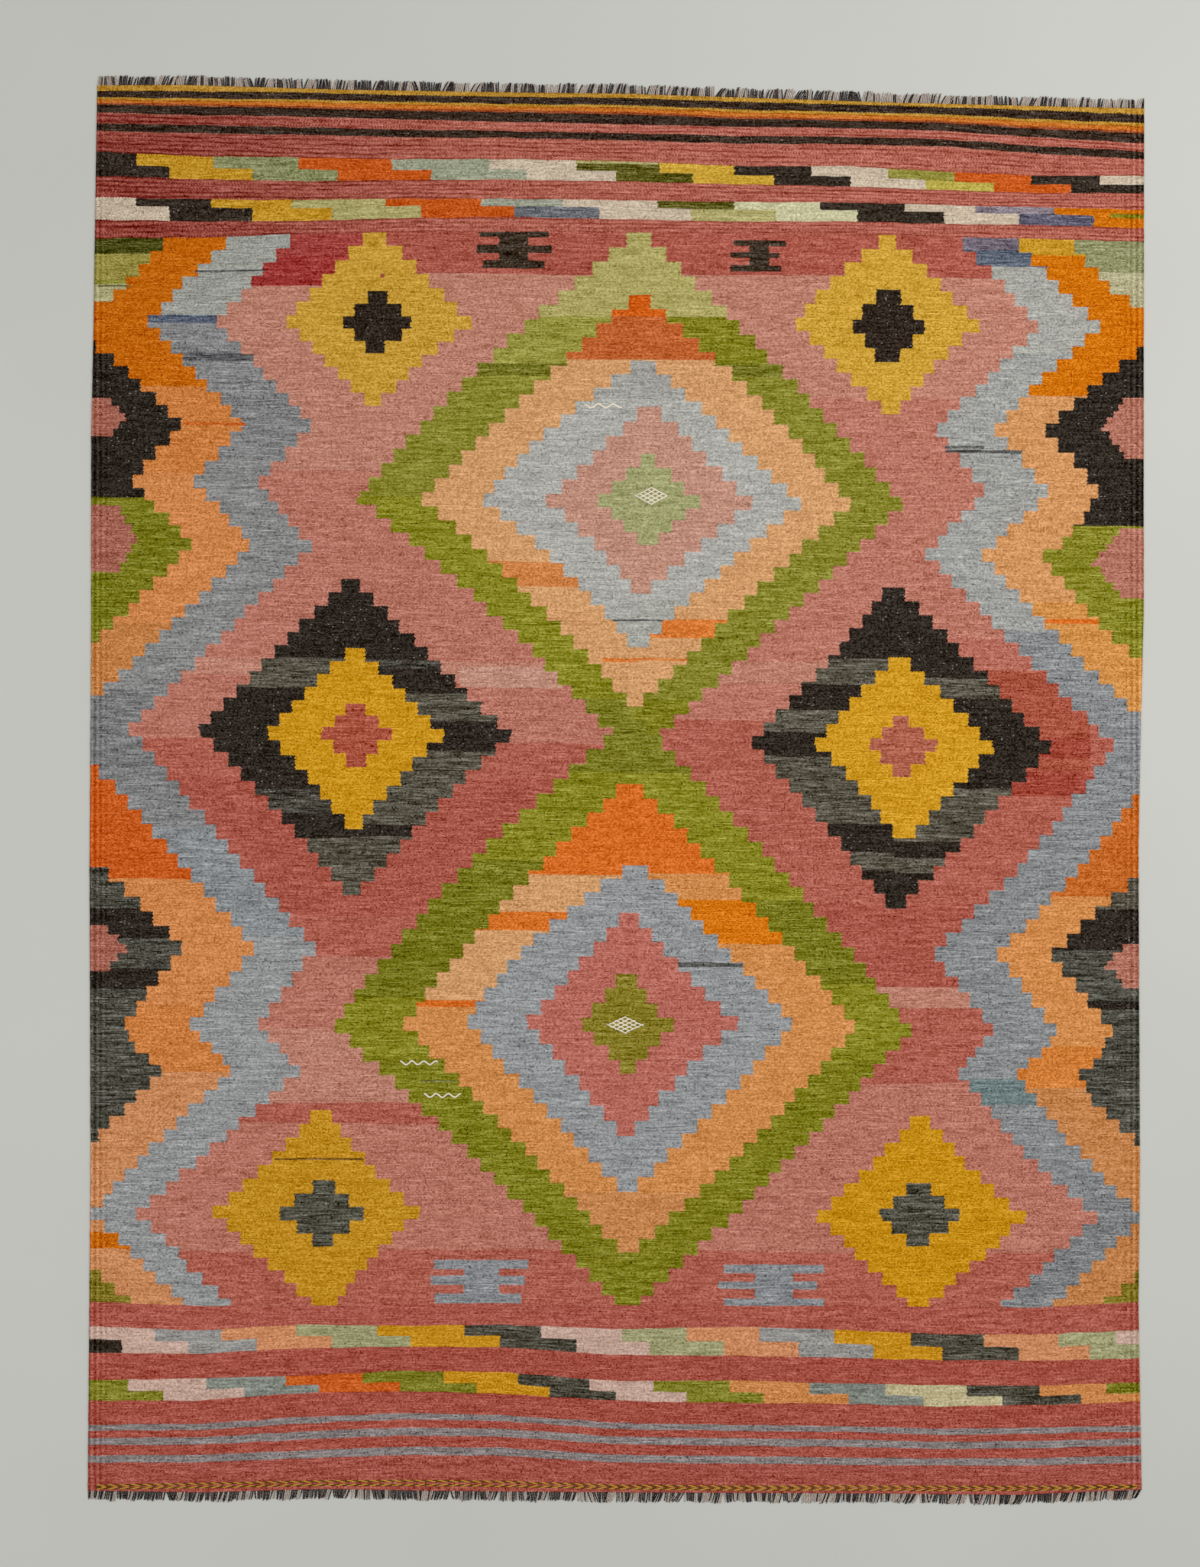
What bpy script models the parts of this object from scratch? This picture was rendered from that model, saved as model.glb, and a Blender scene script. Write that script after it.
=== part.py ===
"""A flat-woven kilim lying on the floor: the woven panel and the short cut warp fringe at each end.

Metres. +Y runs up the rug's length, +X across it, and +Z is up. The underside lies at z = 0.
"""

import math
import random

import bmesh
import bpy

# Driving sizes
WOVEN_WIDTH = 2.00
WOVEN_LENGTH = 2.66
CLOTH_THICKNESS = 0.003
FRINGE_LENGTH = 0.020
SEAM_GAP = 0.0003

# The panel's mesh
COLUMN_SPACING = 0.080
ROW_SPACING = 0.075

# The fold mark that runs up the middle of the rug
CREASE_ACROSS = 0.040
CREASE_HEIGHT = 0.0022
CREASE_HALF_WIDTH = 0.014

# The fringe
STRANDS_PER_END = 140
STRIP_DEPTH = 0.003
STRAND_SHARE_OF_PITCH = 0.56
TIP_SHARE_OF_ROOT = 0.65
TIP_HEIGHT = 0.0016
SHORTEST_STRAND_SHARE = 0.72
LEAN = 0.0032
FRINGE_SEED = 7

# How far each edge stands out from the even rectangle (negative is drawn in): place along the edge, amount
LEFT_EDGE = (
    (-1.33, 0.0040),
    (-0.71, -0.0015),
    (-0.16, 0.0004),
    (0.28, -0.0025),
    (0.66, -0.0025),
    (0.87, -0.0070),
    (1.33, -0.0140),
)
RIGHT_EDGE = (
    (-1.33, -0.0010),
    (-0.97, -0.0070),
    (-0.71, -0.0040),
    (-0.10, -0.0070),
    (0.15, -0.0025),
    (0.36, 0.0030),
    (0.87, 0.0030),
    (1.33, 0.0040),
)
HEAD_EDGE = (
    (-1.00, 0.0060),
    (-0.83, 0.0070),
    (-0.52, -0.0020),
    (-0.15, -0.0080),
    (0.00, -0.0095),
    (0.24, -0.0170),
    (0.54, -0.0270),
    (1.00, -0.0380),
)
FOOT_EDGE = (
    (-1.00, 0.0060),
    (-0.79, 0.0095),
    (-0.56, 0.0030),
    (-0.37, 0.0060),
    (-0.14, 0.0085),
    (0.16, 0.0100),
    (0.46, 0.0115),
    (0.77, 0.0140),
    (0.92, 0.0075),
    (1.00, 0.0040),
)

# Soft swells where the cloth stands a little off the floor: across, along, half width, half length, height
SWELLS = (
    (-0.86, 0.72, 0.16, 0.34, 0.0026),
    (0.88, 0.14, 0.15, 0.40, 0.0024),
    (-0.88, -0.62, 0.14, 0.30, 0.0020),
    (0.84, -0.92, 0.17, 0.26, 0.0022),
    (-0.34, -1.16, 0.30, 0.13, 0.0020),
    (0.46, 1.12, 0.34, 0.15, 0.0020),
)

KILIM_COLOUR = (0.50, 0.17, 0.15, 1.0)
FRINGE_COLOUR = (0.09, 0.065, 0.055, 1.0)


def clear_scene():
    for thing in list(bpy.data.objects):
        bpy.data.objects.remove(thing, do_unlink=True)


def wool_material(name, colour):
    material = bpy.data.materials.new(name)
    material.use_nodes = True
    shader = material.node_tree.nodes["Principled BSDF"]
    shader.inputs["Base Color"].default_value = colour
    shader.inputs["Roughness"].default_value = 0.9
    shader.inputs["Metallic"].default_value = 0.0
    return material


def along_table(table, place):
    """The table's value at a place, on straight lines between its rows."""
    if place <= table[0][0]:
        return table[0][1]
    for (start, low), (end, high) in zip(table, table[1:]):
        if place <= end:
            return low + (high - low) * (place - start) / (end - start)
    return table[-1][1]


def head_edge(x):
    return WOVEN_LENGTH / 2 + along_table(HEAD_EDGE, x)


def foot_edge(x):
    return -WOVEN_LENGTH / 2 - along_table(FOOT_EDGE, x)


def left_edge(y):
    return -WOVEN_WIDTH / 2 - along_table(LEFT_EDGE, y)


def right_edge(y):
    return WOVEN_WIDTH / 2 + along_table(RIGHT_EDGE, y)


def soft_bump(distance):
    """1 in the middle, falling smoothly to 0 at a distance of 1."""
    return 0.5 + 0.5 * math.cos(math.pi * distance) if distance < 1 else 0.0


def lift(x, y):
    """How far the underside stands off the floor."""
    height = CREASE_HEIGHT * soft_bump(abs(x - CREASE_ACROSS) / CREASE_HALF_WIDTH)
    for across, along, half_width, half_length, swell in SWELLS:
        distance = math.hypot((x - across) / half_width, (y - along) / half_length)
        height += swell * soft_bump(distance)
    return height


def even_places(half_size, spacing):
    count = math.ceil(2 * half_size / spacing)
    return [half_size * (2 * i / count - 1) for i in range(count + 1)]


def column_places():
    """Even columns, with one at each bend of the end edges and three along the fold mark."""
    wanted = {place for place, _ in HEAD_EDGE + FOOT_EDGE if abs(place) < WOVEN_WIDTH / 2}
    wanted |= {CREASE_ACROSS + step * CREASE_HALF_WIDTH for step in (-1, 0, 1)}
    near = COLUMN_SPACING / 4
    even = even_places(WOVEN_WIDTH / 2, COLUMN_SPACING)
    kept = [even[0]] + [x for x in even[1:-1] if all(abs(x - w) > near for w in wanted)] + [even[-1]]
    return sorted(wanted | set(kept))


def panel_point(column, row):
    """The place of a column and row once the edges are drawn in or let out."""
    half_width, half_length = WOVEN_WIDTH / 2, WOVEN_LENGTH / 2
    head, foot = head_edge(column), foot_edge(column)
    y = foot + (head - foot) * (row + half_length) / (2 * half_length)
    left, right = left_edge(row), right_edge(row)
    side_pull = (left + half_width) if column < 0 else (right - half_width)
    return column + side_pull * (abs(column) / half_width) ** 4, y


def make_panel():
    columns = column_places()
    rows = even_places(WOVEN_LENGTH / 2, ROW_SPACING)
    shape = bmesh.new()
    under, over = [], []
    for row in rows:
        points = [panel_point(column, row) for column in columns]
        under.append([shape.verts.new((x, y, lift(x, y))) for x, y in points])
        over.append([shape.verts.new((x, y, lift(x, y) + CLOTH_THICKNESS)) for x, y in points])
    for j in range(len(rows) - 1):
        for i in range(len(columns) - 1):
            shape.faces.new((over[j][i], over[j][i + 1], over[j + 1][i + 1], over[j + 1][i]))
            shape.faces.new((under[j][i], under[j + 1][i], under[j + 1][i + 1], under[j][i + 1]))
    rim_under = rim_of(under)
    rim_over = rim_of(over)
    for i in range(len(rim_under)):
        n = (i + 1) % len(rim_under)
        shape.faces.new((rim_under[i], rim_under[n], rim_over[n], rim_over[i]))
    return finished(shape, "kilim", wool_material("kilim_wool", KILIM_COLOUR))


def rim_of(grid):
    """The outer points of a grid of points, in order anticlockwise."""
    right = [row[-1] for row in grid[1:]]
    head = grid[-1][-2::-1]
    left = [row[0] for row in grid[-2:0:-1]]
    return grid[0] + right + head + left


def make_fringe(name, edge, outward, seed):
    """A narrow strip along one end, with a strand drawn out of it at each step."""
    chance = random.Random(seed)
    start = panel_point(-WOVEN_WIDTH / 2, outward * WOVEN_LENGTH / 2)[0]
    end = panel_point(WOVEN_WIDTH / 2, outward * WOVEN_LENGTH / 2)[0]
    pitch = (end - start) / STRANDS_PER_END
    margin = pitch * (1 - STRAND_SHARE_OF_PITCH) / 2
    stations = [start]
    for i in range(STRANDS_PER_END):
        stations += [start + i * pitch + margin, start + (i + 1) * pitch - margin]
    stations.append(end)
    shape = bmesh.new()
    rings = []
    for x in stations:
        inner = edge(x) + outward * SEAM_GAP
        outer = inner + outward * STRIP_DEPTH
        corners = ((inner, 0), (inner, CLOTH_THICKNESS), (outer, CLOTH_THICKNESS), (outer, 0))
        rings.append([shape.verts.new((x, y, z)) for y, z in corners])
    shape.faces.new(rings[0])
    shape.faces.new(rings[-1][::-1])
    for i, (near, far) in enumerate(zip(rings, rings[1:])):
        for a in range(4):
            b = (a + 1) % 4
            if a == 2 and i % 2 == 1:
                draw_strand(shape, near, far, outward, chance)
            else:
                shape.faces.new((near[a], far[a], far[b], near[b]))
    bmesh.ops.recalc_face_normals(shape, faces=shape.faces)
    return finished(shape, name, wool_material(name + "_yarn", FRINGE_COLOUR))


def draw_strand(shape, near, far, outward, chance):
    """A flat tapering strand from the strip's outer face to its tip, level on the floor."""
    root = (near[2], far[2], far[3], near[3])
    middle = (near[3].co.x + far[3].co.x) / 2
    half = (far[3].co.x - near[3].co.x) / 2 * TIP_SHARE_OF_ROOT
    share = chance.uniform(SHORTEST_STRAND_SHARE, 1.0)
    tip_y = near[3].co.y + outward * (FRINGE_LENGTH * share - STRIP_DEPTH)
    tip_x = middle + chance.uniform(-LEAN, LEAN)
    room = WOVEN_WIDTH / 2 - half
    tip_x = max(-room, min(room, tip_x))
    places = ((-half, TIP_HEIGHT), (half, TIP_HEIGHT), (half, 0), (-half, 0))
    tip = [shape.verts.new((tip_x + across, tip_y, z)) for across, z in places]
    shape.faces.new(tip)
    for a in range(4):
        b = (a + 1) % 4
        shape.faces.new((root[a], root[b], tip[b], tip[a]))


def finished(shape, name, material):
    mesh = bpy.data.meshes.new(name)
    shape.to_mesh(mesh)
    shape.free()
    mesh.materials.append(material)
    piece = bpy.data.objects.new(name, mesh)
    bpy.context.scene.collection.objects.link(piece)
    return piece


def centre_over_floor(pieces):
    """Moves the meshes so that the middle of the rug's box, fringes included, is at x = y = 0."""
    points = [vertex.co for piece in pieces for vertex in piece.data.vertices]
    shift = [-(min(p[a] for p in points) + max(p[a] for p in points)) / 2 for a in (0, 1)]
    for piece in pieces:
        for vertex in piece.data.vertices:
            vertex.co.x += shift[0]
            vertex.co.y += shift[1]


def main():
    clear_scene()
    panel = make_panel()
    head = make_fringe("fringe_top", head_edge, 1, FRINGE_SEED)
    foot = make_fringe("fringe_bottom", foot_edge, -1, FRINGE_SEED + 1)
    centre_over_floor([panel, head, foot])


main()
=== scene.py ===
# %% [markdown]
# # A flat-woven kilim on the floor
# A kilim has no pile: coloured wool wefts are beaten down over hidden warps, and each patch of colour
# is woven back and forth on its own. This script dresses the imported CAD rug: the frame gives its true
# size and place, and everything that shows is made here, in metres, around that frame.

import math
import random

import bpy
import numpy as np
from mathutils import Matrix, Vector, noise


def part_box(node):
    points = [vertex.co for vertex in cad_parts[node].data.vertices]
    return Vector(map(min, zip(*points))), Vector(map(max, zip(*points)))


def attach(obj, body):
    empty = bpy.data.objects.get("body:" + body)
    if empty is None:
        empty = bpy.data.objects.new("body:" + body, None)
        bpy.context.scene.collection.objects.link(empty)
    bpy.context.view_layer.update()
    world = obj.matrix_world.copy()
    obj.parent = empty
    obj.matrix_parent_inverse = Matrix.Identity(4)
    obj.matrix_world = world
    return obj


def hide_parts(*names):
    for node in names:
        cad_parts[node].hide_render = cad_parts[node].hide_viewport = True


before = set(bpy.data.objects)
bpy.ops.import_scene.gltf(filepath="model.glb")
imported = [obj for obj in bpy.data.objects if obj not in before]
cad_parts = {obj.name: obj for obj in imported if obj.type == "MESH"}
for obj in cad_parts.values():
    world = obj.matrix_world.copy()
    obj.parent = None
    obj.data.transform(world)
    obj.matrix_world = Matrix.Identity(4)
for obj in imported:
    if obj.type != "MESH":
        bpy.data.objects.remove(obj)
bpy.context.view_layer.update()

# %% [markdown]
# The loom's numbers come next. They are the ones that the CAD source uses: the even rectangle that the
# weaver aimed at, and how far each edge wandered from it. Every other place on the rug is worked out
# from them, so the dressed cloth and the CAD solid share one outline.

# %% The rug's size and its uneven edges
MM = 0.001
HALF_WIDTH = 1.00
HALF_LENGTH = 1.33
CLOTH_THICKNESS = 0.003
FRINGE_LENGTH = 0.020

LEFT_EDGE = np.array(
    (
        (-1.33, 0.0040),
        (-0.71, -0.0015),
        (-0.16, 0.0004),
        (0.28, -0.0025),
        (0.66, -0.0025),
        (0.87, -0.0070),
        (1.33, -0.0140),
    )
)
RIGHT_EDGE = np.array(
    (
        (-1.33, -0.0010),
        (-0.97, -0.0070),
        (-0.71, -0.0040),
        (-0.10, -0.0070),
        (0.15, -0.0025),
        (0.36, 0.0030),
        (0.87, 0.0030),
        (1.33, 0.0040),
    )
)
HEAD_EDGE = np.array(
    (
        (-1.00, 0.0060),
        (-0.83, 0.0070),
        (-0.52, -0.0020),
        (-0.15, -0.0080),
        (0.00, -0.0095),
        (0.24, -0.0170),
        (0.54, -0.0270),
        (1.00, -0.0380),
    )
)
FOOT_EDGE = np.array(
    (
        (-1.00, 0.0060),
        (-0.79, 0.0095),
        (-0.56, 0.0030),
        (-0.37, 0.0060),
        (-0.14, 0.0085),
        (0.16, 0.0100),
        (0.46, 0.0115),
        (0.77, 0.0140),
        (0.92, 0.0075),
        (1.00, 0.0040),
    )
)

# The tables are centred on the loom's rectangle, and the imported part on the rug's own box.
panel_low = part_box("kilim")[0]
SHIFT_ACROSS = panel_low.x + HALF_WIDTH + LEFT_EDGE[:, 1].max()
SHIFT_ALONG = panel_low.y + HALF_LENGTH + FOOT_EDGE[:, 1].max()
print("the packed rug is shifted by", round(SHIFT_ACROSS, 4), round(SHIFT_ALONG, 4))


# %% Where a warp and a row of the loom end up on the floor
def on_the_floor(column, row):
    """The place of each warp and weft once the edges are drawn in or let out."""
    head = HALF_LENGTH + np.interp(column, *HEAD_EDGE.T)
    foot = -HALF_LENGTH - np.interp(column, *FOOT_EDGE.T)
    along = foot + (head - foot) * (row + HALF_LENGTH) / (2 * HALF_LENGTH)
    drawn_left = -np.interp(row, *LEFT_EDGE.T)
    drawn_right = np.interp(row, *RIGHT_EDGE.T)
    drawn = np.where(column < 0, drawn_left, drawn_right)
    across = column + drawn * (np.abs(column) / HALF_WIDTH) ** 4
    return across, along


corner = on_the_floor(np.array([-HALF_WIDTH]), np.array([-HALF_LENGTH]))
print("left foot corner", round(float(corner[0][0]), 4), round(float(corner[1][0]), 4))

# %% [markdown]
# A heavy flatweave lies nearly flat, but it keeps a faint fold mark up its middle and a few soft swells
# near its edges. They are a few millimetres high, so they go into the mesh and not into a bump.

# %% How far the cloth stands off the floor
CREASE_ACROSS = 0.040
CREASE_HEIGHT = 0.0022
CREASE_HALF_WIDTH = 0.014
# across, along, half width, half length, height
SWELLS = (
    (-0.86, 0.72, 0.16, 0.34, 0.0026),
    (0.88, 0.14, 0.15, 0.40, 0.0024),
    (-0.88, -0.62, 0.14, 0.30, 0.0020),
    (0.84, -0.92, 0.17, 0.26, 0.0022),
    (-0.34, -1.16, 0.30, 0.13, 0.0020),
    (0.46, 1.12, 0.34, 0.15, 0.0020),
)
RIPPLE_HEIGHT = 0.0007


def soft_bump(distance):
    """1 in the middle, falling smoothly to 0 at a distance of 1."""
    return np.where(distance < 1, 0.5 + 0.5 * np.cos(np.pi * np.minimum(distance, 1)), 0.0)


def lift(across, along):
    """The height of the underside above the floor."""
    height = CREASE_HEIGHT * soft_bump(np.abs(across - CREASE_ACROSS) / CREASE_HALF_WIDTH)
    for middle_across, middle_along, half_width, half_length, swell in SWELLS:
        away = np.hypot((across - middle_across) / half_width, (along - middle_along) / half_length)
        height = height + swell * soft_bump(away)
    return height


print("highest swell", float(lift(np.array([-0.86]), np.array([0.72]))[0]))

# %% [markdown]
# The wefts were not beaten down evenly, so every stripe bows and leans a little. The drift table, read
# off the photo's stripes, says for a row of the loom how far above or below its true place it lies at
# eleven warps. The cloth's own map then stores, for every point of the mesh, which row of the loom
# runs through it. A pattern that is drawn straight on that map comes out bowed on the rug, exactly as
# weaving does.

# %% The drift of the wefts, in millimetres from the middle of the rug
WEFT_COLUMNS = (-986, -790, -600, -410, -220, 0, 236, 445, 616, 806, 999)
WEFT_DRIFT = (
    (-1338, (0, -1, 3, 2, 0, 0, -3, -4, -5, -4, 4)),
    (-1325, (0, 4, 8, 10, 8, 0, -2, -1, -2, -2, 0)),
    (-1275, (0, 0, 8, 15, 14, 0, -2, -5, -6, -6, 0)),
    (-1212, (-4, -2, 10, 19, 16, 0, -4, -6, -12, -9, -5)),
    (-1164, (0, 0, 15, 19, 13, 0, -4, -6, -11, -8, -2)),
    (-1127, (2, 6, 10, 20, 18, 0, 2, -4, -8, -8, -2)),
    (-1077, (4, 2, 13, 16, 15, 0, -2, -6, -10, -11, -6)),
    (-1028, (5, -3, 9, 6, 9, 0, 5, -2, -10, -10, -2)),
    (-982, (6, -2, -2, 0, 0, 0, -2, -2, -4, -4, 6)),
    (-811, (4, 3, 2, 2, 1, 0, -1, -2, -2, -3, -4)),
    (-540, (4, 3, 2, 2, 1, 0, -1, -2, -2, -3, -4)),
    (-450, (8, 6, 5, 3, 2, 0, -2, -3, -5, -6, -8)),
    (-308, (8, 6, 5, 3, 2, 0, -2, -3, -5, -6, -8)),
    (101, (16, 13, 10, 7, 4, 0, -4, -7, -10, -13, -16)),
    (452, (13, 11, 8, 6, 3, 0, -3, -6, -8, -11, -13)),
    (566, (11, 9, 7, 5, 3, 0, -3, -5, -7, -9, -11)),
    (690, (6, 5, 3, 2, 1, 0, -1, -3, -4, -5, -6)),
    (885, (6, 5, 3, 2, 1, 0, -1, -3, -4, -5, -6)),
    (1055, (-11, -10, -2, 1, 2, 0, 0, -2, -8, -12, -17)),
    (1081, (-1, -4, -4, 2, 4, 0, -5, -5, -10, -11, -18)),
    (1117, (5, 2, 0, 3, 2, 0, -4, -5, -9, -14, -18)),
    (1153, (10, 4, 0, 2, 3, 0, -6, -11, -17, -23, -23)),
    (1191, (18, 9, 7, 3, 4, 0, -10, -10, -21, -28, -28)),
    (1230, (17, 12, 10, 5, 4, 0, -7, -8, -12, -27, -36)),
    (1244, (19, 15, 11, 7, 5, 0, -5, -7, -11, -23, -35)),
    (1260, (23, 18, 15, 10, 5, 0, -4, -7, -12, -25, -36)),
    (1280, (18, 15, 11, 6, 4, 0, -9, -13, -17, -28, -38)),
    (1297, (15, 12, 10, 6, 2, 0, -9, -14, -18, -28, -35)),
    (1311, (13, 12, 10, 5, 2, 0, -8, -13, -18, -24, -32)),
    (1320, (15, 13, 10, 6, 2, 0, -6, -10, -16, -22, -29)),
)


def loom_row(across, along):
    """For one warp, the row of the loom at each place along it."""
    nominal = np.array([row for row, _ in WEFT_DRIFT], float)
    drift = np.array([np.interp(across / MM, WEFT_COLUMNS, drifts) for _, drifts in WEFT_DRIFT])
    nominal = np.concatenate([[-1700.0], nominal, [1700.0]])
    drift = np.concatenate([[drift[0]], drift, [drift[-1]]])
    return np.interp(along / MM, nominal + drift, nominal) * MM


print("head edge at the middle warp is row", round(float(loom_row(0.0, 1.3205)), 4))

# %% [markdown]
# The cloth is one closed sheet: a grid of points for its face, another for its back, and a shared line
# of points round the rim. The columns and rows crowd together at the edges, where the wefts turn round
# the outer warps and make a rounded cord that is a little fuller than the cloth.

# %% The grid of the cloth
COLUMN_STEP = 0.0150
ROW_STEP = 0.0092
EDGE_PLACES = (0.0, 0.0012, 0.0032, 0.0065, 0.0110)
SIDE_FULLNESS = (0.0, 0.70, 1.08, 1.16, 1.02)
END_FULLNESS = (0.0, 0.62, 0.95, 1.00, 1.00)


def graded(half_size, step):
    """Places from edge to edge: the close ones of the edge, then even steps between them."""
    inner = half_size - EDGE_PLACES[-1] - step * 0.6
    count = round(2 * inner / step)
    middle = np.linspace(-inner, inner, count + 1)
    edge = half_size - np.array(EDGE_PLACES)
    return np.concatenate([-edge, middle, edge[::-1]])


columns = graded(HALF_WIDTH, COLUMN_STEP)
rows = graded(HALF_LENGTH, ROW_STEP)
print("the cloth has", len(columns), "columns and", len(rows), "rows")


# %% The places of its points
def cloth_points():
    """Face heights, back heights, and the places of every column and row, as grids."""
    column, row = np.meshgrid(columns, rows)
    across, along = on_the_floor(column, row)
    to_side = HALF_WIDTH - np.abs(column)
    to_end = HALF_LENGTH - np.abs(row)
    for i, j in np.argwhere(to_side < 0.004):
        turn = noise.noise(Vector((column[i, j] * 3, row[i, j] * 55, 4.0)))
        across[i, j] += np.sign(column[i, j]) * 0.0007 * turn
    ripple = np.zeros_like(across)
    for i, j in np.ndindex(ripple.shape):
        place = Vector((across[i, j] * 5.0, along[i, j] * 16.0, 1.0))
        ripple[i, j] = RIPPLE_HEIGHT * (0.5 + 0.5 * noise.noise(place))
    full = np.interp(to_side, EDGE_PLACES, SIDE_FULLNESS)
    full = full * np.interp(to_end, EDGE_PLACES, END_FULLNESS)
    middle = lift(across, along) + ripple * np.minimum(to_end / 0.05, 1) + CLOTH_THICKNESS / 2
    face = middle + full * CLOTH_THICKNESS / 2
    back = middle - full * CLOTH_THICKNESS / 2
    return across, along, face, back - np.minimum(back, 0)


across, along, face_height, back_height = cloth_points()
print("face between", round(float(face_height.min()), 4), "and", round(float(face_height.max()), 4))


# %% Make the cloth's mesh
def cloth_mesh():
    """One closed mesh: the face, and the back that shares the rim's points with it."""
    high, wide = across.shape
    face_index = np.arange(high * wide).reshape(high, wide)
    inside = np.zeros((high, wide), bool)
    inside[1:-1, 1:-1] = True
    back_index = face_index.copy()
    back_index[inside] = high * wide + np.arange(inside.sum())
    place = np.stack([across + SHIFT_ACROSS, along + SHIFT_ALONG], axis=-1)
    face_points = np.concatenate([place, face_height[..., None]], axis=-1).reshape(-1, 3)
    back_points = np.concatenate([place, back_height[..., None]], axis=-1)[inside]
    a, b, c, d = (f[s, t] for f in [face_index] for s, t in corner_slices())
    quads = [np.stack([a, b, c, d], axis=-1).reshape(-1, 4)]
    a, b, c, d = (f[s, t] for f in [back_index] for s, t in corner_slices())
    quads.append(np.stack([a, d, c, b], axis=-1).reshape(-1, 4))
    mesh = bpy.data.meshes.new("kilim_cloth")
    points = np.concatenate([face_points, back_points])
    mesh.from_pydata(points.tolist(), [], np.concatenate(quads).tolist())
    return mesh, face_index, inside


def corner_slices():
    """The four corners of every small square of a grid, anticlockwise."""
    low, high = slice(None, -1), slice(1, None)
    return ((low, low), (low, high), (high, high), (high, low))


cloth_data, face_index, inside = cloth_mesh()
cloth = bpy.data.objects.new("kilim_cloth", cloth_data)
bpy.context.scene.collection.objects.link(cloth)
cloth_data.polygons.foreach_set("use_smooth", [True] * len(cloth_data.polygons))
print("cloth:", len(cloth_data.vertices), "points,", len(cloth_data.polygons), "squares")


# %% The cloth's own maps
# ClothMap holds the place across the rug and the row of the loom, in metres: the chart is drawn on it.
# OFBake spreads the same sheet over one square, for a painted copy of the finished cloth.
LEAST_BAKE_STEP = 0.0030


def spread_out(places):
    """Places from 0 to 1, with the crowded columns of the edges moved apart."""
    steps = np.maximum(np.diff(places), LEAST_BAKE_STEP)
    total = np.concatenate([[0.0], np.cumsum(steps)])
    return total / total[-1]


def point_map(mesh, name, values):
    """Gives the mesh a UV map from one pair of numbers a point."""
    corners = np.empty(len(mesh.loops), np.int32)
    mesh.loops.foreach_get("vertex_index", corners)
    layer = mesh.uv_layers.new(name=name)
    layer.data.foreach_set("uv", values[corners].astype(np.float32).ravel())


def both_sides(grid):
    """The numbers of the face's points, then those of the back's."""
    return np.concatenate([grid.reshape(-1, grid.shape[-1]), grid[inside]])


woven_row = np.empty_like(along)
for j in range(across.shape[1]):
    woven_row[:, j] = loom_row(float(across[:, j].mean()), along[:, j])
point_map(cloth_data, "ClothMap", both_sides(np.stack([across, woven_row], axis=-1)))
bake_along, bake_across = np.meshgrid(spread_out(rows), spread_out(columns), indexing="ij")
bake_grid = np.stack([bake_along * 0.996 + 0.002, bake_across * 0.996 + 0.002], axis=-1)
point_map(cloth_data, "OFBake", both_sides(bake_grid))
print("rows of the loom run from", round(float(woven_row.min()), 3), "to", round(float(woven_row.max()), 3))

# %% [markdown]
# ## The yarns
# Hand-dyed wool differs from lot to lot, so one "green" is really six. Each shade gets a name and the
# colour that was measured for it on the photo, as red, green and blue from 0 to 255. Blender works in
# linear light, so each one is turned into that before a node uses it.

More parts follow.
